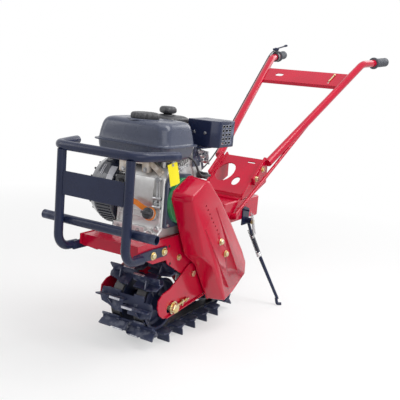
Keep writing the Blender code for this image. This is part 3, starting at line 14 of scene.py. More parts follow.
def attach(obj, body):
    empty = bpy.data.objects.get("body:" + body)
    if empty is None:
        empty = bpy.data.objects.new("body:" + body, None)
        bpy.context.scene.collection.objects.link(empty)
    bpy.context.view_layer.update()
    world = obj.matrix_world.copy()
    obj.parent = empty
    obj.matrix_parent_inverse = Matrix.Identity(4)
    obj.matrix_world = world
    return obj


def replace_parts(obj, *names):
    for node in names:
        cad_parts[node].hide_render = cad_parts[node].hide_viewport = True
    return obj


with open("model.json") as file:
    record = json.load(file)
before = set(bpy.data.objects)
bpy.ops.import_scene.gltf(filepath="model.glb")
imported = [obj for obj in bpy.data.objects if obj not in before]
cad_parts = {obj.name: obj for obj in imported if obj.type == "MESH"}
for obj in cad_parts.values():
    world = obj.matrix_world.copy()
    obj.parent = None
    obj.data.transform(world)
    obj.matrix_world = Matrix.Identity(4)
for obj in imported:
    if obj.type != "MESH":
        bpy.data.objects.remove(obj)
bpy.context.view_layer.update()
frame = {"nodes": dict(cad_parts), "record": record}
NODES = frame["nodes"]
BODY_OF = {node: body for body, nodes in frame["record"]["behaviour"]["bodies"].items() for node in nodes}
SLOT_OF = {entry["node"]: entry["material_slot"] for entry in frame["record"]["subparts"]}
DICE = random.Random(7)
MATERIALS = {}
WEAR_SCALE = 60.0
COAT_ROUGH = 0.06
MACHINE = "machine"
LEFT = (1, 0, 0)
FRONT = (0, -1, 0)
UP = (0, 0, 1)


# ---------------------------------------------------------------- materials
def shader_of(name):
    """A new node material: its tree, its shader and a coordinate source in metres."""
    mat = bpy.data.materials.new(name)
    mat.use_nodes = True
    tree = mat.node_tree
    return mat, tree, tree.nodes["Principled BSDF"], tree.nodes.new("ShaderNodeTexCoord").outputs["Object"]


def put(node, **values):
    """Set a node's constant inputs; an underscore stands for a space in a socket's name."""
    for name, value in values.items():
        node.inputs[name.replace("_", " ")].default_value = value


def noise(tree, where, scale, detail=3.0, rough=0.5):
    """A noise pattern over the coordinates."""
    node = tree.nodes.new("ShaderNodeTexNoise")
    put(node, Scale=scale, Detail=detail, Roughness=rough)
    tree.links.new(where, node.inputs["Vector"])
    return node.outputs["Fac"]


def spread(tree, value, low_in, high_in, low_out, high_out):
    """A value moved from one range to another, held at its ends."""
    node = tree.nodes.new("ShaderNodeMapRange")
    put(node, From_Min=low_in, From_Max=high_in, To_Min=low_out, To_Max=high_out)
    tree.links.new(value, node.inputs["Value"])
    return node.outputs["Result"]


def blend_colour(tree, share, first, second):
    """Two colours mixed by a share; each is a colour or a socket."""
    node = tree.nodes.new("ShaderNodeMix")
    node.data_type = "RGBA"
    tree.links.new(share, node.inputs["Factor"])
    for socket, colour in ((node.inputs["A"], first), (node.inputs["B"], second)):
        if isinstance(colour, bpy.types.NodeSocket):
            tree.links.new(colour, socket)
        else:
            socket.default_value = (*colour, 1.0)
    return node.outputs["Result"]


def multiply(tree, first, second):
    """Two values multiplied."""
    node = tree.nodes.new("ShaderNodeMath")
    node.operation = "MULTIPLY"
    tree.links.new(first, node.inputs[0])
    tree.links.new(second, node.inputs[1])
    return node.outputs[0]


def edges(tree, low, high):
    """Where the surface is convex and gets rubbed."""
    geometry = tree.nodes.new("ShaderNodeNewGeometry")
    return spread(tree, geometry.outputs["Pointiness"], low, high, 0.0, 1.0)


def bumped(tree, shader, height, strength, distance):
    """Relief from a height value."""
    node = tree.nodes.new("ShaderNodeBump")
    put(node, Strength=strength, Distance=distance)
    tree.links.new(height, node.inputs["Height"])
    tree.links.new(node.outputs["Normal"], shader.inputs["Normal"])


def surface(name, colour, rough, metal=0.0, coat=0.0, patch=None, patch_scale=9.0, grain=220.0, relief=0.15,
            depth=0.0004, wear=None, wear_at=(0.53, 0.6), swing=0.08, gleam=0.5):
    """A worn painted, cast or moulded surface: patches of colour, uneven gloss, grain and rubbed edges."""
    mat, tree, shader, where = shader_of(name)
    big = noise(tree, where, patch_scale, 4.0)
    small = noise(tree, where, grain, 3.0, 0.6)
    other = patch or tuple(channel * 0.82 for channel in colour)
    tone = blend_colour(tree, spread(tree, big, 0.35, 0.68, 0.0, 1.0), colour, other)
    if wear is not None:
        broken = spread(tree, noise(tree, where, WEAR_SCALE), 0.42, 0.62, 0.0, 1.0)
        tone = blend_colour(tree, multiply(tree, edges(tree, *wear_at), broken), tone, wear)
    tree.links.new(tone, shader.inputs["Base Color"])
    gloss = spread(tree, noise(tree, where, patch_scale * 3.0), 0.3, 0.7, rough - swing, rough + swing)
    tree.links.new(gloss, shader.inputs["Roughness"])
    put(shader, Metallic=metal, Coat_Weight=coat, Coat_Roughness=COAT_ROUGH, Specular_IOR_Level=gleam)
    bumped(tree, shader, small, relief, depth)
    mat.diffuse_color = (*colour, 1.0)
    MATERIALS[name] = mat


surface("red_paint", (0.52, 0.001, 0.028), 0.18, coat=0.28, patch=(0.44, 0.001, 0.026), grain=90.0,
        relief=0.02, depth=0.0002, swing=0.03, gleam=0.18)
surface("black_powder", (0.01, 0.015, 0.046), 0.3, coat=0.08, patch=(0.014, 0.021, 0.056), grain=900.0,
        relief=0.16, wear=(0.14, 0.16, 0.24), wear_at=(0.57, 0.68), gleam=0.26)
surface("track_steel", (0.014, 0.02, 0.056), 0.4, metal=0.1, patch=(0.024, 0.032, 0.074),
        patch_scale=16.0, grain=420.0, relief=0.3, wear=(0.5, 0.52, 0.6), wear_at=(0.55, 0.63), gleam=0.4)
surface("tank_paint", (0.042, 0.052, 0.09), 0.3, coat=0.12, patch=(0.05, 0.06, 0.1), grain=700.0,
        relief=0.12, depth=0.0003, gleam=0.4)
surface("cast_alloy", (0.6, 0.6, 0.6), 0.44, metal=0.6, patch=(0.5, 0.49, 0.48), patch_scale=14.0,
        grain=520.0, relief=0.42, depth=0.0006, wear=(0.8, 0.8, 0.8))
surface("green_paint", (0.01, 0.235, 0.075), 0.3, coat=0.4, patch=(0.008, 0.19, 0.06), grain=200.0,
        relief=0.08)
surface("zinc", (0.66, 0.5, 0.2), 0.3, metal=1.0, patch=(0.58, 0.55, 0.42), patch_scale=70.0,
        grain=600.0, relief=0.12)
surface("steel", (0.5, 0.5, 0.51), 0.34, metal=1.0, patch=(0.36, 0.36, 0.37), patch_scale=30.0,
        grain=500.0, relief=0.15)
surface("black_plastic", (0.02, 0.021, 0.026), 0.4, patch=(0.026, 0.027, 0.032), grain=850.0, relief=0.25,
        wear=(0.09, 0.09, 0.1))
surface("grip_rubber", (0.05, 0.056, 0.07), 0.55, patch=(0.062, 0.068, 0.082), grain=700.0, relief=0.35)
surface("cap_plastic", (0.03, 0.031, 0.036), 0.5, patch=(0.04, 0.041, 0.046), grain=900.0, relief=0.3)
surface("yellow_card", (0.93, 0.8, 0.01), 0.5, patch=(0.88, 0.74, 0.012), grain=90.0, relief=0.12,
        depth=0.001)
surface("orange_card", (0.85, 0.24, 0.012), 0.5, patch=(0.78, 0.2, 0.01), grain=90.0, relief=0.12,
        depth=0.001)
surface("red_plastic", (0.6, 0.01, 0.016), 0.32, grain=500.0, relief=0.1)
surface("cable_jacket", (0.018, 0.018, 0.022), 0.42, grain=400.0, relief=0.2)
surface("foil", (0.8, 0.8, 0.82), 0.22, metal=1.0, patch=(0.66, 0.66, 0.7), grain=40.0, relief=0.6,
        depth=0.003)
surface("chrome_plate", (0.72, 0.72, 0.73), 0.2, metal=1.0, grain=300.0, relief=0.06)
surface("gloss_black", (0.012, 0.016, 0.034), 0.2, coat=0.5, grain=500.0, relief=0.06)
surface("tan_alloy", (0.5, 0.42, 0.34), 0.42, metal=0.35, patch=(0.4, 0.33, 0.27), patch_scale=20.0,
        grain=520.0, relief=0.3, wear=(0.78, 0.74, 0.7))
surface("pale_trim", (0.5, 0.5, 0.54), 0.35, coat=0.3, grain=300.0, relief=0.05)
surface("worn_steel", (0.72, 0.73, 0.78), 0.3, metal=0.6, patch=(0.3, 0.31, 0.36), patch_scale=34.0,
        grain=500.0, relief=0.25)
# Near-black painted shade: the colour of the flat marks drawn where holes, vents and slots are, standing in
# for their shaded insides.
surface("painted_hole_shade", (0.004, 0.004, 0.005), 0.8, grain=300.0, relief=0.1)


# ---------------------------------------------------------------- mesh tools
def settle(obj, body, slot, smooth=40.0):
    """Shade, paint and hang a finished piece on its body."""
    bpy.context.scene.collection.objects.link(obj)
    obj.data.materials.clear()
    obj.data.materials.append(MATERIALS[slot])
    if smooth:
        obj.data.shade_smooth()
        obj.data.set_sharp_from_angle(angle=radians(smooth))
    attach(obj, body)
    return obj


def piece(name, build, body=MACHINE, slot="red_paint", bevel=0.0, segments=2, smooth=40.0):
    """A piece whose mesh build() fills in, with bevelled edges."""
    mesh = bpy.data.meshes.new(name)
    work = bmesh.new()
    build(work)
    bmesh.ops.recalc_face_normals(work, faces=work.faces)
    work.to_mesh(mesh)
    work.free()
    obj = bpy.data.objects.new(name, mesh)
    settle(obj, body, slot, smooth)
    round_edges(obj, bevel, segments)
    return obj


def stand_in(node, name, build, slot, **shape):
    """A piece that takes a node's place, on the node's own body."""
    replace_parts(piece(name, build, BODY_OF[node], slot, **shape), node)


def round_edges(obj, bevel, segments=2, angle=35.0):
    """Bevel a piece's sharp edges and keep its flats flat."""
    if bevel > 0:
        mod = obj.modifiers.new("bevel", "BEVEL")
        mod.width = bevel
        mod.segments = segments
        mod.limit_method = "ANGLE"
        mod.angle_limit = radians(angle)
        mod.harden_normals = True


def refine(node, bevel=0.0008, segments=2, slot=None, angle=32.0):
    """The node's own shape with clean faces and soft edges, in place of its plain solid."""
    source = NODES[node].data
    work = bmesh.new()
    work.from_mesh(source)
    bmesh.ops.remove_doubles(work, verts=work.verts, dist=0.00001)
    bmesh.ops.dissolve_limit(work, angle_limit=radians(2.0), verts=work.verts, edges=work.edges)
    mesh = bpy.data.meshes.new(node + "_skin")
    work.to_mesh(mesh)
    work.free()
    obj = bpy.data.objects.new(node + "_skin", mesh)
    settle(obj, BODY_OF[node], slot or SLOT_OF[node])
    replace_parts(obj, node)
    round_edges(obj, bevel, segments, angle)
    return obj


def turn_to(axis, side="Y"):
    """Matrix that takes Z to the axis."""
    return Vector(axis).to_track_quat("Z", side).to_matrix().to_4x4()


def skin(work, rings, capped=True):
    """Faces between rings of corners; without caps the last ring meets the first."""
    for low, high in zip(rings, rings[1:] if capped else rings[1:] + rings[:1]):
        for index in range(len(low)):
            work.faces.new((low[index - 1], low[index], high[index], high[index - 1]))
    if capped:
        work.faces.new(list(reversed(rings[0])))
        work.faces.new(rings[-1])


def spun(work, profile, centre, axis=(1, 0, 0), steps=48, flute=None):
    """A turned shape: (radius, height) points; flute(angle, radius) may change a radius."""
    place = Matrix.Translation(centre) @ turn_to(axis)
    rings = []
    for radius, height in profile:
        ring = []
        if radius < 1e-6:
            ring = [work.verts.new(place @ Vector((0, 0, height)))] * steps
        else:
            for step in range(steps):
                angle = 2 * pi * step / steps
                reach = flute(angle, radius) if flute else radius
                ring.append(work.verts.new(place @ Vector((reach * cos(angle), reach * sin(angle),
                                                           height))))
        rings.append(ring)
    for low, high in zip(rings, rings[1:]):
        for step in range(steps):
            corners = []
            for vert in (low[step - 1], low[step], high[step], high[step - 1]):
                if vert not in corners:
                    corners.append(vert)
            if len(corners) > 2:
                work.faces.new(corners)


def solid(work, profile, at, axis, steps):
    """A turned shape whose ends are closed to its axis."""
    spun(work, [(0.0, profile[0][1]), *profile, (0.0, profile[-1][1])], at, axis, steps)


def ring_profile(inner, outer, half):
    """The closed profile of a plain ring."""
    return [(inner, -half), (outer, -half), (outer, half), (inner, half), (inner, -half)]


def disc(work, at, axis, radius, height, steps=20):
    """A plain round boss."""
    solid(work, [(radius, 0.0), (radius, height)], at, axis, steps)


def block(work, low, high, place=None):
    """A box between two corners, moved by a matrix."""
    size = [b - a for a, b in zip(low, high)]
    middle = [(a + b) / 2 for a, b in zip(low, high)]
    matrix = Matrix.Translation(middle) @ Matrix.Diagonal((*size, 1.0))
    return bmesh.ops.create_cube(work, size=1.0, matrix=(place or Matrix.Identity(4)) @ matrix)["verts"]


def slab(work, outline, depth, place):
    """A flat outline given a thickness, centred on the matrix's own plane."""
    skin(work, [[work.verts.new(place @ Vector((x, y, height))) for x, y in outline]
                for height in (-depth / 2, depth / 2)])


def pierced(work, outline, holes, depth, place):
    """A flat outline with holes through it, given a thickness."""
    sides = []
    for height in (-depth / 2, depth / 2):
        loops = [[work.verts.new(place @ Vector((x, y, height))) for x, y in points]
                 for points in (outline, *holes)]
        rims = [work.edges.new(ends) for loop in loops for ends in zip(loop[-1:] + loop, loop)]
        bmesh.ops.triangle_fill(work, edges=rims, use_beauty=True)
        sides.append(loops)
    for low, high in zip(*sides):
        for index in range(len(low)):
            work.faces.new((low[index - 1], low[index], high[index], high[index - 1]))


def rectangle(half_x, half_y):
    """A rectangle's corners round the origin."""
    return [(x * half_x, y * half_y) for x, y in ((-1, -1), (1, -1), (1, 1), (-1, 1))]


def oval(x, y, half, radius, steps=10):
    """A slot's outline: two half rounds joined by straights along X."""
    points = []
    for end, start in ((1, -90), (-1, 90)):
        for step in range(steps + 1):
            angle = radians(start + 180 * step / steps)
            points.append((x + end * half + radius * cos(angle), y + radius * sin(angle)))
    return points


def curved(points, steps=8):
    """A smooth route through points."""
    points = [Vector(point) for point in points]
    ends = [points[0] * 2 - points[1]] + points + [points[-1] * 2 - points[-2]]
    route = []
    for index in range(1, len(ends) - 2):
        a, b, c, d = ends[index - 1:index + 3]
        for step in range(steps):
            t = step / steps
            route.append(0.5 * (2 * b + (c - a) * t + (2 * a - 5 * b + 4 * c - d) * t * t
                                + (3 * b - a - 3 * c + d) * t * t * t))
    return route + [points[-1]]


def bent(points, radius, steps=8):
    """A route with each inner corner turned into an arc."""
    points = [Vector(point) for point in points]
    route = [points[0]]
    for before, corner, after in zip(points, points[1:], points[2:]):
        into = (before - corner).normalized()
        out = (after - corner).normalized()
        half = into.angle(out) / 2
        centre = corner + (into + out).normalized() * (radius / sin(half))
        first = corner + into * (radius / tan(half)) - centre
        last = corner + out * (radius / tan(half)) - centre
        hinge = first.cross(last)
        swing = first.angle(last)
        for step in range(steps + 1):
            route.append(centre + Matrix.Rotation(swing * step / steps, 3, hinge) @ first)
    return route + [points[-1]]


def pipe(work, route, radius, sides=24, wall=0.0, depth=0.02):
    """A tube along a route; with a wall its ends are open to the depth."""
    route = [Vector(point) for point in route]
    heading = (route[1] - route[0]).normalized()
    side = heading.orthogonal().normalized()
    frames = []
    for index, point in enumerate(route):
        before = (point - route[index - 1]).normalized() if index else heading
        after = (route[index + 1] - point).normalized() if index + 1 < len(route) else before
        heading = (before + after).normalized()
        side = (side - heading * side.dot(heading)).normalized()
        frames.append((point, side.copy(), heading.cross(side), heading.copy()))

    def ring(place, size, shift=0.0):
        point, across, up, ahead = place
        return [work.verts.new(point + ahead * shift + across * size * cos(a) + up * size * sin(a))
                for a in (2 * pi * step / sides for step in range(sides))]

    loops = [ring(place, radius) for place in frames]
    if wall:
        bore = radius - wall
        loops = [ring(frames[0], bore, depth), ring(frames[0], bore), *loops,
                 ring(frames[-1], bore), ring(frames[-1], bore, -depth)]
    skin(work, loops)


WASHER_T = 0.0012


def coil(low, high, radius, turns, steps):
    """A helix between two points."""
    along = (high - low).normalized()
    side = along.orthogonal().normalized()
    other = along.cross(side)
    route = []
    for step in range(turns * steps + 1):
        angle = 2 * pi * step / steps
        at = low.lerp(high, step / (turns * steps))
        route.append(at + side * radius * cos(angle) + other * radius * sin(angle))
    return route


def hexagon(work, at, axis, radius, height, washer=0.0, turn=0.0):
    """A hexagon head with its chamfered top, on a washer."""
    base = Vector(at)
    direction = Vector(axis).normalized()
    if washer:
        disc(work, base, direction, washer, WASHER_T, 28)
        base = base + direction * WASHER_T
    place = Matrix.Translation(base) @ turn_to(direction) @ Matrix.Rotation(turn, 4, "Z")
    rows = ((radius, 0.0), (radius, height * 0.78), (radius * 0.88, height))
    rings = [[work.verts.new(place @ Vector((r * cos(a), r * sin(a), h)))
              for a in (pi * step / 3 for step in range(6))] for r, h in rows]
    skin(work, rings)


def bolts(name, spots, axis, radius, height, washer=0.0, body=MACHINE, slot="zinc"):
    """Several bolt heads facing the same way."""
    def build(work):
        for spot in spots:
            hexagon(work, spot, axis, radius, height, washer, DICE.uniform(0.0, 1.0))
    return piece(name, build, body, slot, 0.0003, 1)


# ---------------------------------------------------------------- camera, floor and lamps
FLOOR_R = 14.0
FLOOR_FADE = (0.9, 2.4)
FLOOR_NEAR = 0.5
WORLD_LIGHT = 0.24
WHITE = (1.0, 1.0, 1.0, 1.0)
FLOOR_GREY = (0.92, 0.92, 0.92, 1.0)
CAMERA_AT = (1.0865, -1.684, 0.8121)
CAMERA_TURN = (30.0, -11.1, 4.9)
CAMERA_LENS = 60.45
LAMPS = (("overhead", (0.2, 0.1, 2.9), (0.0, 0.3, 0.3), 2.4, 2.0, 24.0),
         ("tube_light", (1.5, 0.5, 2.6), (0.0, 0.6, 0.6), 1.1, 2.0, 44.0),
         ("left_front", (2.7, -2.1, 1.7), (0.0, 0.3, 0.4), 3.0, 2.6, 42.0),
         ("right_front", (-2.4, -1.6, 1.7), (0.0, 0.2, 0.4), 1.5, 1.8, 22.0),
         ("rear", (0.6, 3.4, 2.0), (0.0, 0.5, 0.5), 1.6, 1.6, 20.0))


def set_camera():
    """The camera: slightly above the guard, ahead and to the machine's left."""
    yaw, pitch, roll = (radians(angle) for angle in CAMERA_TURN)
    ahead = Vector((-sin(yaw) * cos(pitch), cos(yaw) * cos(pitch), sin(pitch)))
    right = Vector((cos(yaw), sin(yaw), 0.0))
    above = right.cross(ahead)
    across = right * cos(roll) + above * sin(roll)
    upward = above * cos(roll) - right * sin(roll)
    lens = bpy.data.cameras.new("camera")
    lens.lens = CAMERA_LENS
    lens.sensor_width = 36.0
    lens.clip_start = 0.05
    camera = bpy.data.objects.new("camera", lens)
    turn = Matrix((across, upward, -ahead)).transposed().to_4x4()
    camera.matrix_world = Matrix.Translation(CAMERA_AT) @ turn
    bpy.context.scene.collection.objects.link(camera)
    bpy.context.scene.camera = camera


def lamp(name, at, aim, wide, high, power):
    """A soft area lamp aimed at a point."""
    data = bpy.data.lights.new(name, "AREA")
    data.shape = "RECTANGLE"
    data.size = wide
    data.size_y = high
    data.energy = power
    obj = bpy.data.objects.new(name, data)
    obj.location = at
    obj.rotation_euler = (Vector(aim) - Vector(at)).to_track_quat("-Z", "Y").to_euler()
    bpy.context.scene.collection.objects.link(obj)


def white_where_seen(tree, plain, white, out, share=None):
    """White (or a share of it) for the camera and in gloss and glass; the plain shader for other rays."""
    path = tree.nodes.new("ShaderNodeLightPath")
    amount = path.outputs["Is Camera Ray"]
    for ray in ("Is Glossy Ray", "Is Transmission Ray"):
        either = tree.nodes.new("ShaderNodeMath")
        either.operation = "MAXIMUM"
        tree.links.new(amount, either.inputs[0])
        tree.links.new(path.outputs[ray], either.inputs[1])
        amount = either.outputs[0]
    if share is not None:
        amount = multiply(tree, amount, share)
    mix = tree.nodes.new("ShaderNodeMixShader")
    tree.links.new(amount, mix.inputs[0])
    tree.links.new(plain, mix.inputs[1])
    tree.links.new(white, mix.inputs[2])
    tree.links.new(mix.outputs[0], out)


def floor_disc():
    """The round floor, which isn't part of the object."""
    mesh = bpy.data.meshes.new("floor")
    work = bmesh.new()
    bmesh.ops.create_circle(work, cap_ends=True, segments=96, radius=FLOOR_R)
    work.to_mesh(mesh)
    work.free()
    floor = bpy.data.objects.new("floor", mesh)
    bpy.context.scene.collection.objects.link(floor)
    return mesh


def set_stage():
    """A pale floor, a pale world and soft lamps."""
    mesh = floor_disc()
    mat = bpy.data.materials.new("floor")
    mat.use_nodes = True
    tree = mat.node_tree
    matt = tree.nodes["Principled BSDF"]
    put(matt, Base_Color=FLOOR_GREY, Roughness=0.9)
    glow = tree.nodes.new("ShaderNodeEmission")
    put(glow, Color=WHITE, Strength=1.0)
    away = tree.nodes.new("ShaderNodeVectorMath")
    away.operation = "LENGTH"
    tree.links.new(tree.nodes.new("ShaderNodeTexCoord").outputs["Object"], away.inputs[0])
    share = spread(tree, away.outputs["Value"], *FLOOR_FADE, FLOOR_NEAR, 1.0)
    out = tree.nodes["Material Output"].inputs["Surface"]
    white_where_seen(tree, matt.outputs[0], glow.outputs[0], out, share)
    mesh.materials.append(mat)

    world = bpy.data.worlds.new("studio")
    world.use_nodes = True
    bpy.context.scene.world = world
    tree = world.node_tree
    back = tree.nodes["Background"]
    put(back, Color=WHITE, Strength=WORLD_LIGHT)
    seen = tree.nodes.new("ShaderNodeBackground")
    put(seen, Color=WHITE, Strength=1.0)
    white_where_seen(tree, back.outputs[0], seen.outputs[0], tree.nodes["World Output"].inputs["Surface"])
    for name, at, aim, wide, high, power in LAMPS:
        lamp(name, at, aim, wide, high, power)
    bpy.context.scene.view_settings.view_transform = "Standard"


set_camera()
set_stage()

for node, obj in NODES.items():
    obj.data.materials.clear()
    obj.data.materials.append(MATERIALS[SLOT_OF[node]])


# ---------------------------------------------------------------- planes that flat outlines are drawn in
FROM_YZ = Matrix(((0, 0, 1), (1, 0, 0), (0, 1, 0))).to_4x4()
FROM_XZ = Matrix(((1, 0, 0), (0, 0, -1), (0, 1, 0))).to_4x4()


def upright(x, y=0.0, z=0.0):
    """The plane of Y and Z through a point."""
    return Matrix.Translation((x, y, z)) @ FROM_YZ


# ---------------------------------------------------------------- guard
TUBE_R = 0.0125
TUBE_WALL = 0.002
TUBE_BEND = 0.045
POST_X = 0.1128
POST_Y = -0.352
POST_BEND = 0.042
POST_FOOT_Z = 0.306
RAIL_Z = 0.584
RAIL_ARM = (0.172, -0.227)
CROSS_Z = 0.381
CROSS_HALF = 0.189
SIDE_OUT = 0.1
STRAP_T = 0.006
STRAP_BOLTS = ((-0.214, 0.3), (-0.161, 0.302))
SIDES = (("left", 1), ("right", -1))


def front_guard():
    """Bent tube guard with hollow ends, its plate, straps and bolts."""
    reach, back = RAIL_ARM
    shoulder = POST_X + 0.02
    rail = bent([(-reach, back, RAIL_Z), (-shoulder, POST_Y, RAIL_Z), (shoulder, POST_Y, RAIL_Z),
                 (reach, back, RAIL_Z)], TUBE_BEND)
    stand_in("guard_top_rail", "guard_rail_tube",
             lambda work: pipe(work, rail, TUBE_R, 28, TUBE_WALL, 0.03), "black_powder")
    for word, side in SIDES:
        route = bent([(side * POST_X, POST_Y, RAIL_Z - 0.01), (side * POST_X, POST_Y, POST_FOOT_Z),
                      (side * POST_X, POST_Y + 0.075, POST_FOOT_Z - 0.003)], POST_BEND)

        def build(work):
            pipe(work, route, TUBE_R, 28)
            strap = [(-0.3, 0.291), (-0.145, 0.288), (-0.145, 0.315), (-0.215, 0.318), (-0.3, 0.315)]
            slab(work, strap, STRAP_T, upright(side * (SIDE_OUT + 0.0033)))
        stand_in(f"guard_post_{word}", f"guard_post_tube_{word}", build, "black_powder", bevel=0.0007)
        bolts(f"strap_bolts_{word}", [(side * (SIDE_OUT + 0.0062), y, z) for y, z in STRAP_BOLTS],
              (side, 0, 0), 0.0088, 0.0055, 0.0118)
    y = POST_Y + 2 * TUBE_R + 0.0003
    cross = [(share * CROSS_HALF, y, CROSS_Z) for share in (-1, 0, 1)]
    stand_in("guard_cross_tube", "guard_cross_bar",
             lambda work: pipe(work, cross, TUBE_R, 28, TUBE_WALL, 0.04), "black_powder")
    refine("guard_plate", 0.0012, 3)


# ---------------------------------------------------------------- tank and air cleaner
TANK_MIDDLE = (-0.025, -0.097)
TANK_HALF = (0.123, 0.083)
CAP_AT = (-0.025, -0.11)
TANK_FLOOR = 0.548
TANK_TOP = 0.658
CAP_FLUTES = 14
SEAM_Z = 0.592


def plan(middle, half_x, half_y, corner, steps=9):
    """A rectangle with round corners seen from above."""
    points = []
    for sign_x, sign_y, start in ((1, 1, 0), (-1, 1, 90), (-1, -1, 180), (1, -1, 270)):
        for step in range(steps + 1):
            angle = radians(start + 90 * step / steps)
            points.append((middle[0] + sign_x * (half_x - corner) + corner * cos(angle),
                           middle[1] + sign_y * (half_y - corner) + corner * sin(angle)))
    return points


def stack(work, middle, half, rows, steps=9):
    """A shell through (height, inset, corner radius) rows, closed above and below."""
    rings = []
    for height, inset, corner in rows:
        rings.append([work.verts.new((x, y, height))
                      for x, y in plan(middle, half[0] - inset, half[1] - inset, corner, steps)])
    skin(work, rings)


def lobed(depth, count, power):
    """A fluted outline: the radius dips count times."""
    def flute(angle, radius):
        return radius - depth * abs(cos(angle * count / 2)) ** power * min(1.0, radius / 0.02)
    return flute


def fuel_tank():
    """Pressed tank with its seam flange, the dish round the neck, and the fluted cap."""
    def body(work):
        under, over = SEAM_Z - 0.002, SEAM_Z + 0.0015
        rows = [(TANK_FLOOR, 0.024, 0.02), (0.5495, 0.019, 0.021), (0.553, 0.013, 0.022),
                (0.56, 0.0065, 0.023), (0.574, 0.003, 0.024), (under - 0.004, 0.0012, 0.026),
                (under - 0.001, -0.001, 0.027), (under, -0.004, 0.03), (under, -0.0085, 0.032),
                (SEAM_Z, -0.0089, 0.032), (over, -0.0085, 0.032), (over, -0.004, 0.03),
                (over + 0.0015, -0.0005, 0.028), (over + 0.005, 0.0012, 0.028), (0.615, 0.003, 0.029),
                (0.634, 0.006, 0.031), (0.642, 0.008, 0.032), (0.648, 0.011, 0.032),
                (0.6525, 0.0155, 0.03), (0.6553, 0.021, 0.028), (0.657, 0.0275, 0.026),
                (0.6578, 0.034, 0.024)]
        stack(work, TANK_MIDDLE, TANK_HALF, rows)
    stand_in("fuel_tank", "fuel_tank_shell", body, "tank_paint", smooth=50)

    def dish(work):
        rows = [(0.0, 0.0005), (0.03, 0.0005), (0.0465, 0.0008), (0.05, 0.002), (0.0525, 0.001),
                (0.054, -0.0006), (0.0545, -0.003), (0.0, -0.003)]
        spun(work, rows, (*CAP_AT, TANK_TOP - 0.0007), UP, 64)
    piece("tank_dish_ring", dish, slot="tank_paint")

    def cap(work):
        rows = [(0.0, 0.0), (0.0395, 0.0), (0.0412, 0.0012), (0.0418, 0.004), (0.0416, 0.01), (0.04, 0.014),
                (0.0372, 0.0164), (0.033, 0.0174), (0.029, 0.0172), (0.0275, 0.016), (0.01, 0.0163),
                (0.0, 0.0163)]
        spun(work, rows, (*CAP_AT, TANK_TOP + 0.0002), UP, 144, lobed(0.003, CAP_FLUTES, 6.0))
    stand_in("fuel_cap", "fuel_cap_moulding", cap, "cap_plastic", smooth=35)


AIR_MIDDLE = (-0.06, 0.058)
AIR_HALF = (0.053, 0.054)
AIR_TOP = 0.6616
KNOB_LOBES = 3


def air_cleaner():
    """Air cleaner: base tray, domed cover with a step, and a three-lobed knob."""
    def cover(work):
        rows = [(0.5795, 0.003, 0.013), (0.582, 0.0015, 0.015), (0.632, 0.003, 0.016),
                (0.6385, 0.0035, 0.017), (0.6395, 0.0008, 0.018), (0.641, 0.0, 0.018),
                (0.651, 0.0002, 0.018), (0.6545, 0.0015, 0.019), (0.6575, 0.0045, 0.02),
                (0.66, 0.0095, 0.021), (0.6612, 0.016, 0.018), (0.6616, 0.024, 0.014)]
        stack(work, AIR_MIDDLE, AIR_HALF, rows, 7)
        solid(work, [(0.027, 0.0), (0.0255, 0.0022), (0.0145, 0.003), (0.0125, 0.0046)],
              (*AIR_MIDDLE, AIR_TOP - 0.0006), UP, 48)
        x, y = AIR_MIDDLE
        for side in (1, -1):
            face = y + side * (AIR_HALF[1] - 0.0005)
            block(work, (x - 0.03, face - 0.001, 0.586), (x + 0.03, face + 0.0005, 0.628))
    stand_in("air_cleaner_cover", "air_cleaner_shell", cover, "black_plastic", bevel=0.0006)

    def tray(work):
        rows = [(0.569, 0.004, 0.012), (0.57, 0.001, 0.013), (0.578, 0.0, 0.013), (0.5789, 0.001, 0.013)]
        stack(work, AIR_MIDDLE, AIR_HALF, rows, 5)
    stand_in("air_cleaner_base", "air_cleaner_tray", tray, "black_plastic")

    def knob(work):
        rows = [(0.0, 0.0), (0.02, 0.0), (0.0265, 0.0025), (0.0288, 0.007), (0.0285, 0.0125),
                (0.0262, 0.0175), (0.0215, 0.0208), (0.012, 0.0222), (0.0, 0.0224)]
        spun(work, rows, (*AIR_MIDDLE, AIR_TOP + 0.0048), UP, 96,
             lambda a, r: r * (1.0 - 0.1 * (1.0 - cos(KNOB_LOBES * a)) * min(1.0, r / 0.016)))
    stand_in("air_cleaner_knob", "air_cleaner_handwheel", knob, "black_plastic")
    refine("carburettor", 0.0012, 3)
    refine("choke_lever", 0.0006)


# ---------------------------------------------------------------- handles
HANDLE_FOOT = Vector((0.092, 0.44, 0.474))
HANDLE_TOP = Vector((0.205, 1.08, 0.881))
GRIP_END = Vector((0.24, 1.272, 0.902))
HANDLE_R = 0.0145
HANDLE_BEND = 0.09
EAR_X = 0.0823
EAR_T = 0.01
EAR_BOLTS = (Vector((0.418, 0.449)), Vector((0.463, 0.479)))
PLATE_LOW = Vector((0.0, 0.93, 0.784))
PLATE_HIGH = Vector((0.0, 1.01, 0.835))
PLATE_HALF = 0.176
GRIP_RIBS = 17
GRIP_PITCH = 0.0052


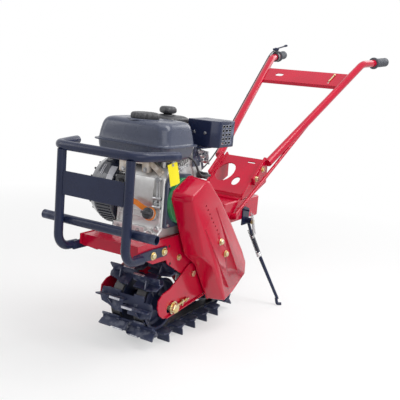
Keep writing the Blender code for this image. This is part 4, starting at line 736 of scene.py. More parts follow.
def cross_plate():
    """The sheet between the handles: folded lip, slot, pin hole and its plated pin."""
    rise = PLATE_HIGH - PLATE_LOW
    slope, reach = rise.normalized(), rise.length / 2
    tilt = Matrix(((1, 0, 0), (0, slope.y, -slope.z), (0, slope.z, slope.y))).to_4x4()
    place = Matrix.Translation((PLATE_LOW + PLATE_HIGH) / 2) @ tilt

    def plate(work):
        holes = [oval(-0.112, 0.003, 0.007, 0.0105), oval(0.116, -0.026, 0.001, 0.0045)]
        pierced(work, rectangle(PLATE_HALF, reach), holes, 0.004, place)
        block(work, (-PLATE_HALF, -reach, -0.014), (PLATE_HALF, -reach + 0.004, 0.0), place)
    stand_in("handle_cross_plate", "cross_plate_sheet", plate, "red_paint", bevel=0.001)

    def pin(work):
        ends = [place @ Vector(spot) for spot in ((0.118, -0.026, 0.005), (0.124, 0.024, 0.005))]
        pipe(work, [ends[0], ends[0].lerp(ends[1], 0.5), ends[1]], 0.0034, 14)
        solid(work, [(0.0052, 0.0), (0.0056, 0.001), (0.0056, 0.004), (0.0052, 0.005)], ends[1],
              ends[1] - ends[0], 18)
    piece("cross_plate_pin", pin, slot="zinc", bevel=0.0003)


def handle_bars():
    """Bent tube handles with flattened bolted feet and ribbed rubber grips."""
    start = HANDLE_FOOT + (HANDLE_TOP - HANDLE_FOOT).normalized() * 0.05
    along = (EAR_BOLTS[1] - EAR_BOLTS[0]).normalized()
    cross = Vector((-along.y, along.x)) * 0.016
    low, high = EAR_BOLTS[0] - along * 0.018, start.yz + along * 0.012
    for word, side in SIDES:
        mirror = Matrix.Diagonal((side, 1, 1))
        end = mirror @ GRIP_END
        out = (end - mirror @ HANDLE_TOP).normalized()
        route = bent([mirror @ point for point in (start, HANDLE_TOP, GRIP_END)], HANDLE_BEND)

        def build(work):
            pipe(work, route, HANDLE_R, 28)
            ear = [low - cross, high - cross, high + cross, low + cross]
            slab(work, ear, EAR_T, upright(side * (EAR_X + EAR_T / 2)))
        stand_in(f"handle_{word}", f"handle_bar_{word}", build, "red_paint", bevel=0.0016, segments=3)
        bolts(f"handle_bolts_{word}", [(side * (EAR_X + 0.0098), y, z) for y, z in EAR_BOLTS], (side, 0, 0),
              0.0088, 0.0052, 0.0112)

        def grip(work):
            rows = [(HANDLE_R + 0.0006, 0.0), (0.0225, 0.0), (0.0243, 0.0012), (0.0243, 0.0046),
                    (0.0225, 0.0058), (0.0186, 0.0072)]
            for rib in range(GRIP_RIBS):
                at = 0.01 + rib * GRIP_PITCH
                rows += [(0.0176, at), (0.0184, at + 0.001), (0.0184, at + 0.0032), (0.0176, at + 0.0042)]
            rows += [(0.0186, 0.1), (0.0186, 0.1038), (0.0176, 0.106), (0.012, 0.107), (0.0, 0.107)]
            spun(work, rows, end - out * 0.1, out, 40)
        stand_in(f"grip_{word}", f"grip_sleeve_{word}", grip, "grip_rubber", smooth=35)
    cross_plate()
    refine("handle_bracket", 0.001, 2)
    refine("handle_brace", 0.0008, 2)


front_guard()
fuel_tank()
air_cleaner()
handle_bars()


# ---------------------------------------------------------------- track
BAND = 0.008
SHOE_T = 0.004
CLEAT = 0.028
CREST = BAND / 2 + SHOE_T + CLEAT
IDLER = (-0.09, 0.118)
ROLLER = (0.258, 0.086)
DRIVE = (0.15, 0.192)
WHEELS = ((IDLER, IDLER[1] - CREST), (ROLLER, ROLLER[1] - CREST), (DRIVE, 0.074))
STAGGER = 0.009
SHOES = 16
BAND_STEPS = 180
SPOKES = 6


def belt_path():
    """The belt's closed loop as straight and round stretches."""
    tilt = []
    for (here, r_here), (there, r_there) in zip(WHEELS, WHEELS[1:] + WHEELS[:1]):
        away = Vector(there) - Vector(here)
        tilt.append(atan2(away.y, away.x) - acos((r_here - r_there) / away.length))
    stretches = []
    for index, (here, r_here) in enumerate(WHEELS):
        there, r_there = WHEELS[(index + 1) % 3]
        facing = Vector((cos(tilt[index]), sin(tilt[index])))
        stretches.append((Vector(here) + facing * r_here, Vector(there) + facing * r_there))
        turn = (tilt[(index + 1) % 3] - tilt[index]) % (2 * pi)
        stretches.append((Vector(there), r_there, tilt[index], turn))
    return stretches


STRETCHES = belt_path()
LENGTHS = [(s[1] - s[0]).length if len(s) == 2 else s[1] * s[3] for s in STRETCHES]


def on_belt(distance):
    """Matrix of the belt's middle at a distance: X across, Y along it, Z outward."""
    distance %= sum(LENGTHS)
    for stretch, length in zip(STRETCHES, LENGTHS):
        if distance <= length:
            break
        distance -= length
    if len(stretch) == 2:
        along = (stretch[1] - stretch[0]).normalized()
        at, facing = stretch[0] + along * distance, Vector((along.y, -along.x))
    else:
        angle = stretch[2] + distance / stretch[1]
        facing = Vector((cos(angle), sin(angle)))
        at = stretch[0] + facing * stretch[1]
    turn = Matrix(((1, 0, 0), (0, -facing.y, facing.x), (0, facing.x, facing.y))).to_4x4()
    return Matrix.Translation((0, at.x, at.y)) @ turn


def track_shoe(work, place):
    """One pressed shoe: notched plate, staggered cleats with fish-tail ends, and raised worn lips."""
    low = BAND / 2 - 0.0012
    top = BAND / 2 + SHOE_T
    base, neck, tip = top - 0.001, top + CLEAT * 0.82, top + CLEAT - 0.0008
    middle = Matrix.Translation((0, 0, (low + top) / 2))
    outline = [(-0.06, -0.03), (-0.024, -0.03), (-0.024, -0.023), (0.024, -0.023), (0.024, -0.03),
               (0.06, -0.03), (0.06, -0.013), (0.087, -0.013), (0.0938, 0.0), (0.089, 0.028), (0.06, 0.036),
               (0.036, 0.032), (0.01, 0.032), (0.01, 0.004), (-0.01, 0.004), (-0.01, 0.032),
               (-0.036, 0.032), (-0.06, 0.021), (-0.087, 0.015), (-0.0938, 0.001), (-0.089, -0.027),
               (-0.06, -0.031)]
    slab(work, outline, top - low, place @ middle)
    for side in (1, -1):
        face = place @ Matrix.Translation((0, side * STAGGER, 0)) @ FROM_XZ
        outer = [(0.044, base), (0.0915, base), (0.0915, top + 0.003), (0.0885, top + 0.006),
                 (0.0912, top + 0.009), (0.0938, tip - 0.0008), (0.0915, tip), (0.052, tip),
                 (0.046, tip - 0.006)]
        inner = [(-0.002, base), (0.046, base), (0.047, neck), (0.042, tip), (0.004, tip), (-0.002, neck)]
        for edge, thick in ((outer, 0.0046), (inner, 0.005)):
            slab(work, [(side * x, z) for x, z in edge], thick, face)
        web = [(0.0, base), (0.018, base), (0.0, top + 0.02)]
        slab(work, web, 0.004, place @ upright(side * 0.052, side * STAGGER + 0.008))
        x, y = side * 0.036, side * STAGGER - 0.008
        block(work, (x - 0.006, y - 0.004, base), (x + 0.006, y + 0.004, top + 0.0022), place)


def track():
    """The belt: two bands of links, and the shoes across them."""
    total = sum(LENGTHS)
    phase = -IDLER[0] - STAGGER

    def bands(work):
        for side in (1, -1):
            rings = []
            for step in range(BAND_STEPS):
                place = on_belt(total * step / BAND_STEPS)
                thin = 0.004 if step % 2 else 0.0036
                corners = [(0.025, -thin), (0.056, -thin), (0.056, thin), (0.025, thin)]
                rings.append([work.verts.new(place @ Vector((side * x, 0, h))) for x, h in corners])
            skin(work, rings, capped=False)
    stand_in("track_belt", "track_bands", bands, "cable_jacket", smooth=30)

    def shoes(work):
        for index in range(SHOES):
            track_shoe(work, on_belt(phase + index * total / SHOES))
    piece("track_shoes", shoes, slot="track_steel", bevel=0.0009, segments=2, smooth=35)

    def lips(work):
        for index in range(SHOES):
            place = on_belt(phase + index * total / SHOES)
            for side in (1, -1):
                first, last = sorted((side * 0.005, side * 0.042))
                y = side * STAGGER
                block(work, (first, y - 0.0033, CREST - 0.0026), (last, y + 0.0033, CREST - 0.0001), place)
    piece("shoe_lips", lips, slot="worn_steel", bevel=0.0004)

    def links(work):
        for index in range(SHOES * 2):
            place = on_belt(phase + (index + 0.5) * total / SHOES / 2)
            for side in (1, -1):
                pin = [(0.0, -0.0015), (0.0042, -0.0015), (0.0042, 0.0012), (0.0034, 0.0019), (0.0, 0.0019)]
                spun(work, pin, place @ Vector((side * 0.0562, 0, 0)), (side, 0, 0), 14)
    piece("track_link_pins", links, slot="black_powder")


def track_wheels():
    """Front and rear wheels with rims, dished webs, ribs and hubs."""
    for name, (y, z) in (("idler_wheel", IDLER), ("roller_wheel", ROLLER)):
        tread = z - CREST - BAND / 2 - 0.0016

        def build(work):
            for side in (1, -1):
                rows = [(0.013, 0.026), (tread - 0.002, 0.026), (tread, 0.028), (tread, 0.0578),
                        (tread + 0.0032, 0.0585), (tread + 0.0032, 0.0618), (tread - 0.0045, 0.062),
                        (tread - 0.006, 0.06), (tread - 0.0065, 0.04), (tread * 0.8, 0.0365),
                        (tread * 0.55, 0.041), (0.024, 0.0425), (0.0225, 0.046), (0.0225, 0.066),
                        (0.0205, 0.068), (0.013, 0.068)]
                spun(work, rows, (0, y, z), (side, 0, 0), 56)
                for step in range(SPOKES):
                    turn = Matrix.Rotation(2 * pi * step / SPOKES, 4, "X")
                    spoke = Matrix.Translation((side * 0.0415, y, z)) @ turn
                    block(work, (-0.0035, tread * 0.32, -0.0025), (0.0035, tread * 0.93, 0.0025), spoke)
            spun(work, [(0.0225, -0.026), (0.0225, 0.026)], (0, y, z), LEFT, 32)
        stand_in(name, f"{name}_casting", build, "track_steel", bevel=0.0007, smooth=30)
    for word, side in SIDES:
        way = (side, 0, 0)
        bolts(f"idler_nuts_{word}", [(side * 0.108, *IDLER)], way, 0.016, 0.0105, 0.02, BODY_OF["idler_axle"])
        bolts(f"roller_heads_{word}", [(side * 0.1003, *ROLLER)], way, 0.015, 0.0078, 0.0,
              BODY_OF["roller_axle"])
    for node, bevel in (("idler_axle", 0.0006), ("roller_axle", 0.0006), ("track_drive", 0.0007)):
        refine(node, bevel)


# ---------------------------------------------------------------- chassis and chain case
PLATE_BOLT = (-0.07, 0.266)
PLATE_HOLES = ((-0.126, 0.31), (-0.116, 0.256), (-0.04, 0.3))
TRACK_PLATE_BOLTS = ((0.01, 0.2), (0.06, 0.19))
TENSIONER_X = 0.1095
TENSIONER_ROD = ((-0.075, 0.1215), (-0.03, 0.1265), (-0.012, 0.1285))


def chassis():
    """Plates, deck, rear box, the bolts that hold them and the track's tensioners."""
    for node in ("side_plate_left", "side_plate_right", "engine_deck", "rear_box", "chain_case_back",
                 "track_plate_left", "track_plate_right"):
        refine(node, 0.0007)
    for word, side in SIDES:
        way = (side, 0, 0)
        bolts(f"plate_bolts_{word}", [(side * 0.1001, *PLATE_BOLT)], way, 0.0078, 0.0042, 0.01)

        # Thin near-black discs on the side plates where the holes are: painted shade standing in for the open
        # holes.
        def holes(work):
            for y, z in PLATE_HOLES:
                disc(work, (side * SIDE_OUT, y, z), way, 0.0044, 0.00035)
        piece(f"plate_hole_shade_{word}", holes, slot="painted_hole_shade")
        bolts(f"tension_bolt_{word}", [(side * 0.1046, y, z) for y, z in TRACK_PLATE_BOLTS], way,
              0.0098, 0.0064)

        def tension(work):
            x = side * TENSIONER_X
            route = [(x, y, z) for y, z in TENSIONER_ROD]
            pipe(work, route, 0.0036, 14)
            hexagon(work, route[1], (0, 0.994, 0.11), 0.0066, 0.006)
            block(work, (x - 0.0045, -0.05, 0.1145), (x + 0.0045, -0.046, 0.1345))
        piece(f"chain_tensioner_{word}", tension, slot="zinc", bevel=0.0004)


CHAIN_BOLTS = ((0.038, 0.309), (0.075, 0.265))
VENT_FIRST = Vector((-0.067, 0.432))
VENT_LAST = Vector((0.024, 0.335))
VENTS = 8
VENT_TILT = radians(-38)
CASE_OUT = 0.175
CRANK = (-0.085, 0.438)
CHAIN_X = 0.146
CHAIN_PITCH = 0.0127
CHAIN_STEP = 0.004
CHAIN_ARCS = (0.055, 0.035)
SPROCKETS = (0.05, 0.03)


def chain_loop():
    """The chain's closed line in Y and Z: an arc round each sprocket and the straights between."""
    away = Vector(DRIVE) - Vector(CRANK)
    base = atan2(away.y, away.x)
    lean = acos((SPROCKETS[0] - SPROCKETS[1]) / away.length)
    wrap = pi - lean
    loop = []
    for centre, radius, start, turn in ((DRIVE, CHAIN_ARCS[0], base - wrap, 2 * wrap),
                                        (CRANK, CHAIN_ARCS[1], base + wrap, 2 * lean)):
        steps = max(6, int(radius * turn / CHAIN_STEP))
        for step in range(steps + 1):
            angle = start + turn * step / steps
            loop.append(Vector(centre) + Vector((cos(angle), sin(angle))) * radius)
    return loop


def chain_case():
    """Glossy pressed cover with ribs, vents drawn as painted shade, bolts, and the chain inside it."""
    refine("chain_case_cover", 0.0, 1, angle=25)
    bolts("cover_bolts", [(CASE_OUT + 0.0018, y, z) for y, z in CHAIN_BOLTS], LEFT,
          0.0086, 0.0066, 0.0108)

    # Near-black ovals on the cover where its vents are: painted shade standing in for the open vents.
    def vent_shade_marks(work):
        for step in range(VENTS):
            y, z = VENT_FIRST.lerp(VENT_LAST, step / (VENTS - 1))
            turn = Matrix.Rotation(VENT_TILT, 4, "X")
            place = Matrix.Translation((CASE_OUT - 0.0028, y, z)) @ turn @ FROM_YZ
            slab(work, oval(0.0, 0.0, 0.0018, 0.0034, 6), 0.0005, place)
    piece("cover_vent_shade", vent_shade_marks, slot="painted_hole_shade")

    def chain(work):
        roller = [(0.0, -0.006), (0.0026, -0.006), (0.0026, -0.0045), (0.0038, -0.0044), (0.0038, 0.0044),
                  (0.0026, 0.0045), (0.0026, 0.006), (0.0, 0.006)]
        loop = chain_loop()
        gone, due = 0.0, 0.0
        for here, there in zip(loop, loop[1:] + loop[:1]):
            span = (there - here).length
            while span > 0 and due <= gone + span:
                at = here.lerp(there, (due - gone) / span)
                spun(work, roller, (CHAIN_X, *at), LEFT, 10)
                due += CHAIN_PITCH
            gone += span
        for offset in (-0.0052, 0.0052):
            rings = []
            for before, point, after in zip(loop[-1:] + loop, loop, loop[1:] + loop[:1]):
                heading = (after - before).normalized()
                normal = Vector((heading.y, -heading.x))
                rings.append([work.verts.new((CHAIN_X + offset + dx, *(point + normal * dn)))
                              for dx, dn in rectangle(0.0007, 0.0034)])
            skin(work, rings, capped=False)
    stand_in("drive_chain", "roller_chain", chain, "steel", smooth=30)


track()
track_wheels()
chassis()
chain_case()


# ---------------------------------------------------------------- engine
FRONT_FACE = -0.152
FOOT_FACE = -0.1672
STRUT_FACE = -0.156
STRUT_LEAN = radians(34)
CASE_RIBS = ((0.384, 0.388, 0.003), (0.402, 0.4045, 0.0018))
CASE_POSTS = (-0.066, 0.078)
CASE_FEET = ((-0.006, 0.036), (-0.072, -0.04))
COVER_RING = ((-0.141, 0.372), (-0.074, 0.3695), (-0.006, 0.372), (-0.005, 0.412), (-0.036, 0.497),
              (-0.112, 0.509), (-0.142, 0.483), (-0.143, 0.428))
HOUSING_R = 0.102
COVER_FACE = 0.097
SLOPE = radians(25)
SLOPE_WAY = (0, cos(SLOPE), sin(SLOPE))
CYLINDER_X = -0.005
PLUG_AT = Vector((0.0546, 0.0802, 0.4908))


def on_cylinder(reach, half_x, half_rise):
    """Four spots round the cylinder's axis at a reach from the crank."""
    spots = []
    for side in (1, -1):
        for rise in (half_rise, -half_rise):
            y = CRANK[0] + reach * cos(SLOPE) - rise * sin(SLOPE)
            z = CRANK[1] + reach * sin(SLOPE) + rise * cos(SLOPE)
            spots.append((CYLINDER_X + side * half_x, y, z))
    return spots


def engine_block():
    """Crankcase, side cover, finned cylinder and head, with their bolts, ribs, blocks and struts."""
    refine("crankcase", 0.0024, 3, angle=30)
    refine("crankcase_cover", 0.003, 3, slot="tank_paint")
    for node, bevel, segments in (("pto_flange", 0.0014, 3), ("cylinder", 0.0004, 1),
                                  ("cylinder_head", 0.0004, 1), ("rocker_cover", 0.004, 4),
                                  ("crankshaft", 0.0006, 2)):
        refine(node, bevel, segments)

    def belly(work):
        arch = [(FRONT_FACE + 0.0005 - 0.009 * sin(pi * step / 14) ** 0.7, 0.418 + 0.006 * step)
                for step in range(15)]
        slab(work, arch + [(-0.148, 0.502), (-0.148, 0.418)], 0.08, upright(0.014))
        for low, high, out in CASE_RIBS:
            block(work, (-0.068, FRONT_FACE - out, low), (0.036, FRONT_FACE + 0.002, high))
        for x in CASE_POSTS:
            block(work, (x - 0.003, FRONT_FACE - 0.0045, 0.362), (x + 0.003, FRONT_FACE + 0.002, 0.448))
        for low, high in CASE_FEET:
            block(work, (low, FOOT_FACE, 0.3345), (high, -0.15, 0.36))
        spun(work, [(0.0, 0.0), (0.0125, 0.0), (0.0125, 0.012), (0.011, 0.0145), (0.0078, 0.0145)],
             (0.055, -0.1535, 0.3438), FRONT, 28)
        solid(work, [(0.009, 0.0), (0.009, 0.013), (0.0076, 0.015)],
              (0.0745, -0.15, 0.362), FRONT, 24)
        solid(work, [(0.0105, 0.0), (0.01, 0.011)], (0.068, -0.145, 0.421), FRONT, 24)
    piece("crankcase_front", belly, slot="cast_alloy", bevel=0.0012, segments=2)

    def struts(work):
        sloping = Matrix.Translation((0.048, -0.1435, 0.529)) @ Matrix.Rotation(STRUT_LEAN, 4, "Y")
        block(work, (-0.036, -0.006, -0.0085), (0.026, 0.006, 0.0085), sloping)
        block(work, (0.008, STRUT_FACE, 0.513), (0.03, -0.138, 0.547))
        block(work, (-0.072, STRUT_FACE, 0.505), (-0.04, -0.144, 0.547))
        block(work, (-0.06, -0.15, 0.533), (0.04, -0.142, 0.545))
    piece("tank_struts", struts, slot="tan_alloy", bevel=0.001, segments=2)

    bolts("crankcase_cover_bolts", [(COVER_FACE - 0.0002, y, z) for y, z in COVER_RING], LEFT,
          0.0048, 0.0046, slot="steel")
    front = [(0.015, FOOT_FACE, 0.347), (-0.056, FOOT_FACE, 0.347), (0.0745, -0.165, 0.362),
             (0.019, STRUT_FACE, 0.52), (-0.056, STRUT_FACE, 0.513), (0.068, STRUT_FACE, 0.421)]
    bolts("front_bolts", front, FRONT, 0.0052, 0.004, 0.0072, slot="steel")
    bolts("head_bolts", on_cylinder(0.195, 0.05, 0.03), SLOPE_WAY, 0.0055, 0.005, slot="steel")
    bolts("rocker_bolts", on_cylinder(0.2295, 0.036, 0.024), SLOPE_WAY, 0.0045, 0.004, 0.0066)

    def lead(work):
        start = PLUG_AT + Vector((0.0334, 0.0, 0.0))
        route = [start, start + Vector((0.01, -0.006, 0.004)), (0.09, 0.03, 0.5), (0.07, 0.01, 0.545),
                 (0.0, -0.004, 0.552), (-0.074, -0.01, 0.52)]
        pipe(work, curved(route, 6), 0.0034, 12)
        spun(work, [(0.0, -0.003), (0.0112, -0.003), (0.0125, 0.001), (0.0112, 0.005), (0.0098, 0.009),
                    (0.0112, 0.011), (0.0098, 0.016), (0.0108, 0.03), (0.0, 0.034)],
             PLUG_AT, LEFT, 24)
    stand_in("spark_plug_cap", "plug_lead", lead, "black_plastic", bevel=0.0004)


LINKS = (((0.052, -0.15, 0.5), (0.1, -0.12, 0.512)), ((0.06, -0.146, 0.51), (0.092, -0.08, 0.524)),
         ((0.088, -0.12, 0.506), (0.098, -0.06, 0.536)))
GOVERNOR_TURNS = 9
GOVERNOR_STEPS = 12
SWITCH_SCREWS = ((-0.064, -0.176, 0.494), (-0.034, -0.176, 0.458))


def controls():
    """Governor shaft, lever, control rod and clamps; the engine switch and its box."""
    refine("governor_arm", 0.0006, 2)

    def rod_and_clamps(work):
        route = bent([(0.0775, -0.156, 0.504), (0.0735, -0.1605, 0.503), (0.079, -0.1605, 0.42)], 0.002, 4)
        pipe(work, route, 0.0014, 10)
        for z in (0.447, 0.422):
            solid(work, [(0.0048, 0.0), (0.0052, 0.001), (0.0052, 0.026), (0.0048, 0.027)],
                  (0.056, -0.16, z), LEFT, 18)
        disc(work, (0.062, -0.157, 0.447), FRONT, 0.0042, 0.006, 6)
    piece("control_rod", rod_and_clamps, slot="steel", bevel=0.0003)

    def linkage(work):
        for base, tip in LINKS:
            base, tip = Vector(base), Vector(tip)
            pipe(work, curved([base, base.lerp(tip, 0.5) + Vector((0, 0, 0.005)), tip], 5), 0.0013, 8)
            solid(work, [(0.004, -0.002), (0.004, 0.002)], tip, LEFT, 14)
        plate = [(-0.146, 0.498), (-0.06, 0.52), (-0.06, 0.534), (-0.1, 0.536), (-0.146, 0.512)]
        slab(work, plate, 0.002, upright(0.086))
        route = []
        for step in range(GOVERNOR_TURNS * GOVERNOR_STEPS + 1):
            angle = 2 * pi * step / GOVERNOR_STEPS
            route.append((0.0935 + 0.0032 * cos(angle), -0.118 + 0.00035 * step,
                          0.515 + 0.0032 * sin(angle) + 0.00012 * step))
        pipe(work, route, 0.0006, 6)
    piece("governor_links", linkage, slot="steel", bevel=0.0003)
    refine("switch_box", 0.0016, 3)
    refine("engine_switch", 0.001, 2, slot="black_plastic")
    bolts("switch_screws", SWITCH_SCREWS, FRONT, 0.0022, 0.0012, slot="steel")


LOUVRES = ((196, 266, 12, -0.13, -0.082), (96, 122, 4, -0.13, -0.098))
BAND_STRIPES = ((-0.099, -0.0775, 132, 160), (-0.1265, -0.1235, 130, 150), (-0.1205, -0.118, 130, 150))
HOUSING_FACE = -0.17
HOUSING_BOLT_R = 0.088


def recoil():
    """Glossy fan housing with its louvres, its face slots drawn as painted shade, its pale band, and the
    starter grip.
    """
    refine("recoil_housing", 0.0014, 2, slot="gloss_black")
    y, z = CRANK

    def louvres(work):
        for start, end, count, low, high in LOUVRES:
            for index in range(count):
                angle = radians(start + (end - start) * index / (count - 1))
                place = Matrix.Translation((0, y, z)) @ Matrix.Rotation(angle, 4, "X")
                rows = [(low, HOUSING_R - 0.001), (high, HOUSING_R - 0.001), (high, HOUSING_R + 0.0012),
                        (low, HOUSING_R + 0.0026)]
                skin(work, [[work.verts.new(place @ Vector((x, r, dz))) for x, r in rows]
                            for dz in (-0.0017, 0.0017)])
    piece("fan_louvres", louvres, slot="gloss_black", bevel=0.0004)

    # Near-black blocks in the housing's face where its slots are: painted shade standing in for the open
    # slots.
    def slot_shade_marks(work):
        for ring, count, long in ((0.078, 20, 0.0075), (0.064, 16, 0.006)):
            for index in range(count):
                angle = 2 * pi * (index + 0.5) / count
                place = Matrix.Translation((HOUSING_FACE, y, z)) @ Matrix.Rotation(angle, 4, "X")
                depth = 0.0042 if ring > 0.07 else -0.003
                block(work, (depth - 0.0035, ring - long, -0.0022), (depth + 0.0035, ring + long, 0.0022),
                      place)
    piece("housing_slot_shade", slot_shade_marks, slot="painted_hole_shade")

    def band(work):
        for low, high, start, end in BAND_STRIPES:
            rows = []
            for step in range(13):
                angle = radians(start + (end - start) * step / 12)
                away = Vector((0, cos(angle), sin(angle)))
                rows.append([work.verts.new(Vector((x, y, z)) + away * (HOUSING_R + lift))
                             for x, lift in ((low, -0.001), (low, 0.0007), (high, 0.0007), (high, -0.001))])
            skin(work, rows)
    piece("housing_band", band, slot="pale_trim", smooth=30)

    ring = [(HOUSING_FACE + 0.01, y + HOUSING_BOLT_R * cos(a), z + HOUSING_BOLT_R * sin(a))
            for a in (radians(60 + 120 * index) for index in range(3))]
    bolts("housing_bolts", ring, (-1, 0, 0), 0.0048, 0.0042, 0.007)
    refine("recoil_grip", 0.0012, 3)


def exhaust():
    """Slotted muffler guard with its ridged top, the muffler inside, its stay and its foil."""
    refine("muffler_guard", 0.001, 2)
    refine("muffler", 0.003, 3)
    refine("muffler_stay", 0.0008, 2)

    def ridges(work):
        for index in range(4):
            y = 0.076 + 0.024 * index
            block(work, (0.024, y, 0.659), (0.102, y + 0.012, 0.6599))
    piece("muffler_ridges", ridges, slot="black_powder", bevel=0.0004)

    def rims(work):
        for column in range(3):
            for row in range(5):
                y, z = 0.1 + 0.02 * column, 0.594 + 0.0125 * row
                for dy, dz, wide, high in ((0.0, -0.0035, 0.0068, 0.0005), (0.0, 0.0035, 0.0068, 0.0005),
                                           (-0.0065, 0.0, 0.0005, 0.0034), (0.0065, 0.0, 0.0005, 0.0034)):
                    block(work, (0.1162, y + dy - wide, z + dz - high),
                          (0.1183, y + dy + wide, z + dz + high))
    piece("guard_slot_rims", rims, slot="steel", bevel=0.0002)

    def foil(work):
        steps = 14
        rows = []
        for a in range(steps + 1):
            row = []
            for b in range(steps + 1):
                u, v = a / steps, b / steps
                wave = 0.0022 * sin(9 * u + 4 * v) + 0.0016 * sin(15 * v - 7 * u)
                y = 0.055 - 0.01 * v + wave + DICE.uniform(-0.0006, 0.0006)
                row.append(work.verts.new((0.058 + 0.046 * u, y, 0.536 + 0.04 * v - 0.006 * u)))
            rows.append(row)
        back = [[work.verts.new(vert.co + Vector((0, 0.0012, 0))) for vert in row] for row in rows]
        for a in range(steps):
            for b in range(steps):
                work.faces.new((rows[a][b], rows[a + 1][b], rows[a + 1][b + 1], rows[a][b + 1]))
                work.faces.new((back[a][b], back[a][b + 1], back[a + 1][b + 1], back[a + 1][b]))
        for a in range(steps):
            for b in (0, steps):
                work.faces.new((rows[a][b], rows[a + 1][b], back[a + 1][b], back[a][b]))
                work.faces.new((rows[b][a], rows[b][a + 1], back[b][a + 1], back[b][a]))
    piece("muffler_gasket_foil", foil, slot="foil", smooth=25)
    bolts("muffler_bolts", [(x, 0.0602, 0.622) for x in (0.04, 0.078)], FRONT, 0.005, 0.0038,
          slot="steel")


engine_block()
controls()
recoil()
exhaust()


# ---------------------------------------------------------------- tags, stand and throttle
FILLER_SEAT = Vector((0.055, -0.1763, 0.4041))
FILLER_UP = Vector((0.0, -0.9487, 0.3162))
KNURLS = 18
TAG_R = 0.0163
TAG_T = 0.0006
LOOP_ROUTE = ((0.046, -0.169, 0.412), (0.034, -0.1715, 0.416), (0.02, -0.173, 0.4225),
              (0.006, -0.171, 0.4275), (-0.006, -0.1705, 0.429))


def oil_filler():
    """Dipstick cap with its grip bar and knurled rim, and the loop tag tied round the neck."""
    seat, up = FILLER_SEAT, FILLER_UP

    def cap(work):
        def knurl(angle, radius):
            return radius - (0.0006 if radius > 0.0155 and cos(KNURLS * angle) < 0 else 0.0)
        profile = [(0.0, -0.039), (0.009, -0.039), (0.0103, -0.0375), (0.0103, 0.0002), (0.0155, 0.0002),
                   (0.0165, 0.0012), (0.0165, 0.009), (0.015, 0.011), (0.011, 0.012), (0.0, 0.0122)]
        spun(work, profile, seat, up, 72, knurl)
        bar = Matrix.Translation(seat) @ turn_to(up, "X")
        block(work, (-0.0034, -0.0138, 0.01), (0.0034, 0.0138, 0.0205), bar)
    stand_in("oil_dipstick", "dipstick_cap", cap, "black_plastic", bevel=0.0006)

    def tag(work):
        spun(work, ring_profile(TAG_R, 0.019, 0.0012), seat - up * 0.0062, up, 40)
        route = curved(LOOP_ROUTE, 6)
        rows = []
        for index, point in enumerate(route):
            heading = (route[min(index + 1, len(route) - 1)] - route[max(index - 1, 0)]).normalized()
            away = Vector(FRONT).lerp(up, 0.4).normalized()
            across = heading.cross(away).normalized()
            away = across.cross(heading).normalized()
            half = 0.0078 if 0 < index < len(route) - 1 else 0.0062
            rows.append([work.verts.new(point + across * w + away * h)
                         for w, h in rectangle(half, TAG_T)])
        skin(work, rows)
    stand_in("oil_tag", "oil_loop_tag", tag, "orange_card", smooth=30)


CARD_HALF = 0.016
CARD_LENGTH = 0.06
CARD_LEAN = radians(16)
CARD_TURN = radians(72)
CARD_HOOK = Vector((0.1655, -0.247, 0.584))


def hanging_card():
    """The blank card, a little curled, with its punched eye and its thin wire."""
    drop = Vector((0, 0, -0.0128 - CARD_HALF * sin(CARD_LEAN)))
    place = (Matrix.Translation(CARD_HOOK + drop) @ Matrix.Rotation(CARD_TURN, 4, "Z")
             @ Matrix.Rotation(-CARD_LEAN, 4, "Y"))

    def card(work):
        for lift in (0.0003, -0.0003):
            grid = []
            for a in range(13):
                share = a / 12
                row = []
                for b in range(9):
                    side = b / 4 - 1
                    curl = 0.002 * (sin(pi * share) + (1 - share) ** 3) - 0.0014 * side * side
                    trim = 0.0012 if abs(side) == 1 and a in (0, 12) else 0.0
                    height = -CARD_LENGTH * share + (trim if a == 12 else -trim)
                    row.append(work.verts.new(place @ Vector((CARD_HALF * side, -curl + lift, height))))
                grid.append(row)
            for first, second in zip(grid, grid[1:]):
                for b in range(8):
                    work.faces.new((first[b], first[b + 1], second[b + 1], second[b]))
    stand_in("hang_tag", "blank_card", card, "yellow_card", smooth=60)

    def wire(work):
        route = [place @ Vector((0, y, z)) for y, z in
                 ((0.002, -0.005), (0.0015, 0.001), (-0.0035, 0.0015), (-0.003, -0.005))]
        pipe(work, curved(route, 6), 0.0006, 8)
        spun(work, ring_profile(0.0014, 0.0034, 0.0006), route[-1], place.to_3x3() @ Vector(FRONT), 18)
    piece("card_wire", wire, slot="steel")


STAND_PIVOT = Vector((0.094, 0.385, 0.305))
STAND_FOOT = Vector((0.2, 0.466, 0.0055))
STAND_RIBS = 26


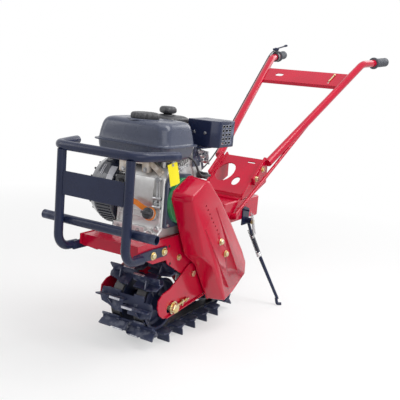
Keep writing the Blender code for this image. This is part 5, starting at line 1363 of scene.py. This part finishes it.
def prop_stand():
    """Stand leg with its ribbed rod, collar and toe, its coil springs and its hinge bracket."""
    refine("stand_bracket", 0.0008)
    leg_body = BODY_OF["stand_leg"]
    pivot, foot = STAND_PIVOT, STAND_FOOT
    knee = pivot + Vector((0.01, 0.022, -0.06))
    down = (foot - knee).normalized()

    def leg(work):
        hub = [(0.006, 0.0856), (0.011, 0.0856), (0.011, 0.101), (0.006, 0.101), (0.006, 0.0856)]
        spun(work, hub, (0, pivot.y, pivot.z), LEFT, 32)
        hip = pivot + Vector((0.001, 0.0, -0.009))
        ankle = foot + Vector((0, 0, 0.018))
        pipe(work, bent([hip, knee, ankle], 0.05, 6), 0.0052, 18)
        toe = [foot + Vector((-0.004, -0.003, 0.022)), foot, foot + Vector((0.012, 0.01, 0.0))]
        pipe(work, bent(toe, 0.006, 6), 0.0053, 16)
        start, end = knee + down * 0.085, ankle - down * 0.006
        for index in range(STAND_RIBS):
            at = start.lerp(end, index / (STAND_RIBS - 1))
            spun(work, [(0.0048, -0.0022), (0.0058, -0.0012), (0.0058, 0.0012), (0.0048, 0.0022)], at,
                 down, 16)
    stand_in("stand_leg", "stand_rod", leg, "black_powder", bevel=0.0003, smooth=35)

    def collar(work):
        spun(work, [(0.0054, 0.0), (0.0088, 0.0), (0.0098, 0.001), (0.0098, 0.0062), (0.0086, 0.0068),
                    (0.0086, 0.0092), (0.0098, 0.0098), (0.0098, 0.015), (0.0088, 0.016), (0.0054, 0.016)],
             knee + down * 0.06, down, 28)
        spun(work, [(0.0054, 0.0), (0.008, 0.0), (0.0084, 0.008), (0.0054, 0.008)], knee - down * 0.004,
             down, 20)
    piece("stand_collar", collar, leg_body, "chrome_plate", 0.0003)

    def sleeve(work):
        pipe(work, coil(knee - down * 0.026, knee + down * 0.058, 0.0078, 15, 14), 0.0016, 8)
    piece("leg_spring", sleeve, leg_body, "gloss_black", smooth=60)
    bolts("hinge_nut", [(pivot.x + 0.0136, pivot.y, pivot.z)], LEFT, 0.008, 0.005, 0.0105)

    def spring(work):
        top = pivot + Vector((0.018, -0.02, 0.036))
        bottom = pivot + Vector((0.021, 0.016, -0.052))
        along = (bottom - top).normalized()
        hook = along.orthogonal().normalized() * 0.001
        turns = coil(top.lerp(bottom, 0.06), top.lerp(bottom, 0.94), 0.0046, 17, 12)
        pipe(work, [top - along * 0.004 + hook, *turns, bottom + along * 0.003 + hook], 0.001, 8)
    stand_in("stand_spring", "stand_coil", spring, "steel", smooth=60)


CABLE_ROUTE = ((-0.2156, 1.1232, 0.9115), (-0.216, 1.105, 0.909), (-0.2175, 1.08, 0.893),
               (-0.2171, 1.0448, 0.8607), (-0.1946, 0.9168, 0.7793), (-0.172, 0.7888, 0.6979),
               (-0.1494, 0.6608, 0.6165), (-0.1326, 0.5648, 0.5554), (-0.1214, 0.5008, 0.5147),
               (-0.119, 0.43, 0.47), (-0.112, 0.34, 0.44), (-0.108, 0.26, 0.44),
               (-0.1, 0.2, 0.47), (-0.092, 0.14, 0.498), (-0.09, 0.093, 0.5095))
CABLE_R = 0.0025
TIES_AT = (0.34, 0.52, 0.68)


def throttle():
    """Throttle clamp, its lever with a finger pad, the cable and its ferrules."""
    refine("throttle_clamp", 0.001, 3)
    mirror = Matrix.Diagonal((-1, 1, 1))
    end = mirror @ GRIP_END
    out = (end - mirror @ HANDLE_TOP).normalized()
    up = Vector((0.0, -out.z, out.y)).normalized()
    hub = end - out * 0.137 + up * 0.0308

    def lever(work):
        spun(work, [(0.0, 0.0), (0.014, 0.0), (0.014, 0.006), (0.0125, 0.0078), (0.0052, 0.0082),
                    (0.005, 0.0105), (0.0, 0.0108)], hub, up, 36)
        tip = hub + up * 0.018 + out * 0.025 + out.cross(up) * 0.04
        along = (tip - hub - up * 0.004).normalized()
        across = along.cross(up).normalized()
        face = Matrix((along, across, along.cross(across))).transposed().to_4x4()
        place = Matrix.Translation(hub + up * 0.0055) @ face
        edge = [(0.0, 0.007), (0.026, 0.007), (0.044, 0.0085), (0.054, 0.006)]
        slab(work, [(x, -y) for x, y in edge] + edge[::-1], 0.0042, place)
        block(work, (0.042, -0.0075, -0.0045), (0.053, 0.0075, 0.0035), place)
    stand_in("throttle_lever", "lever_blade", lever, "black_powder", bevel=0.0008)
    route = curved(CABLE_ROUTE, 8)

    stand_in("throttle_cable", "cable_jacket_run", lambda work: pipe(work, route, CABLE_R, 14),
             "cable_jacket")

    def ferrules(work):
        for at, ahead in ((route[1], route[3]), (route[-4], route[-1])):
            spun(work, [(0.0026, -0.006), (0.0036, -0.006), (0.004, -0.004), (0.004, 0.004), (0.0036, 0.006),
                        (0.0026, 0.006)], at, ahead - at, 16)
    piece("cable_ferrules", ferrules, slot="steel")

    def ties(work):
        for share in TIES_AT:
            index = int(share * (len(route) - 1))
            at, ahead = route[index], route[index + 1] - route[index]
            spun(work, [(0.0026, -0.0016), (0.0034, -0.0016), (0.0034, 0.0016), (0.0026, 0.0016)], at,
                 ahead, 16)
    piece("cable_ties", ties, slot="black_plastic")


oil_filler()
hanging_card()
prop_stand()
throttle()
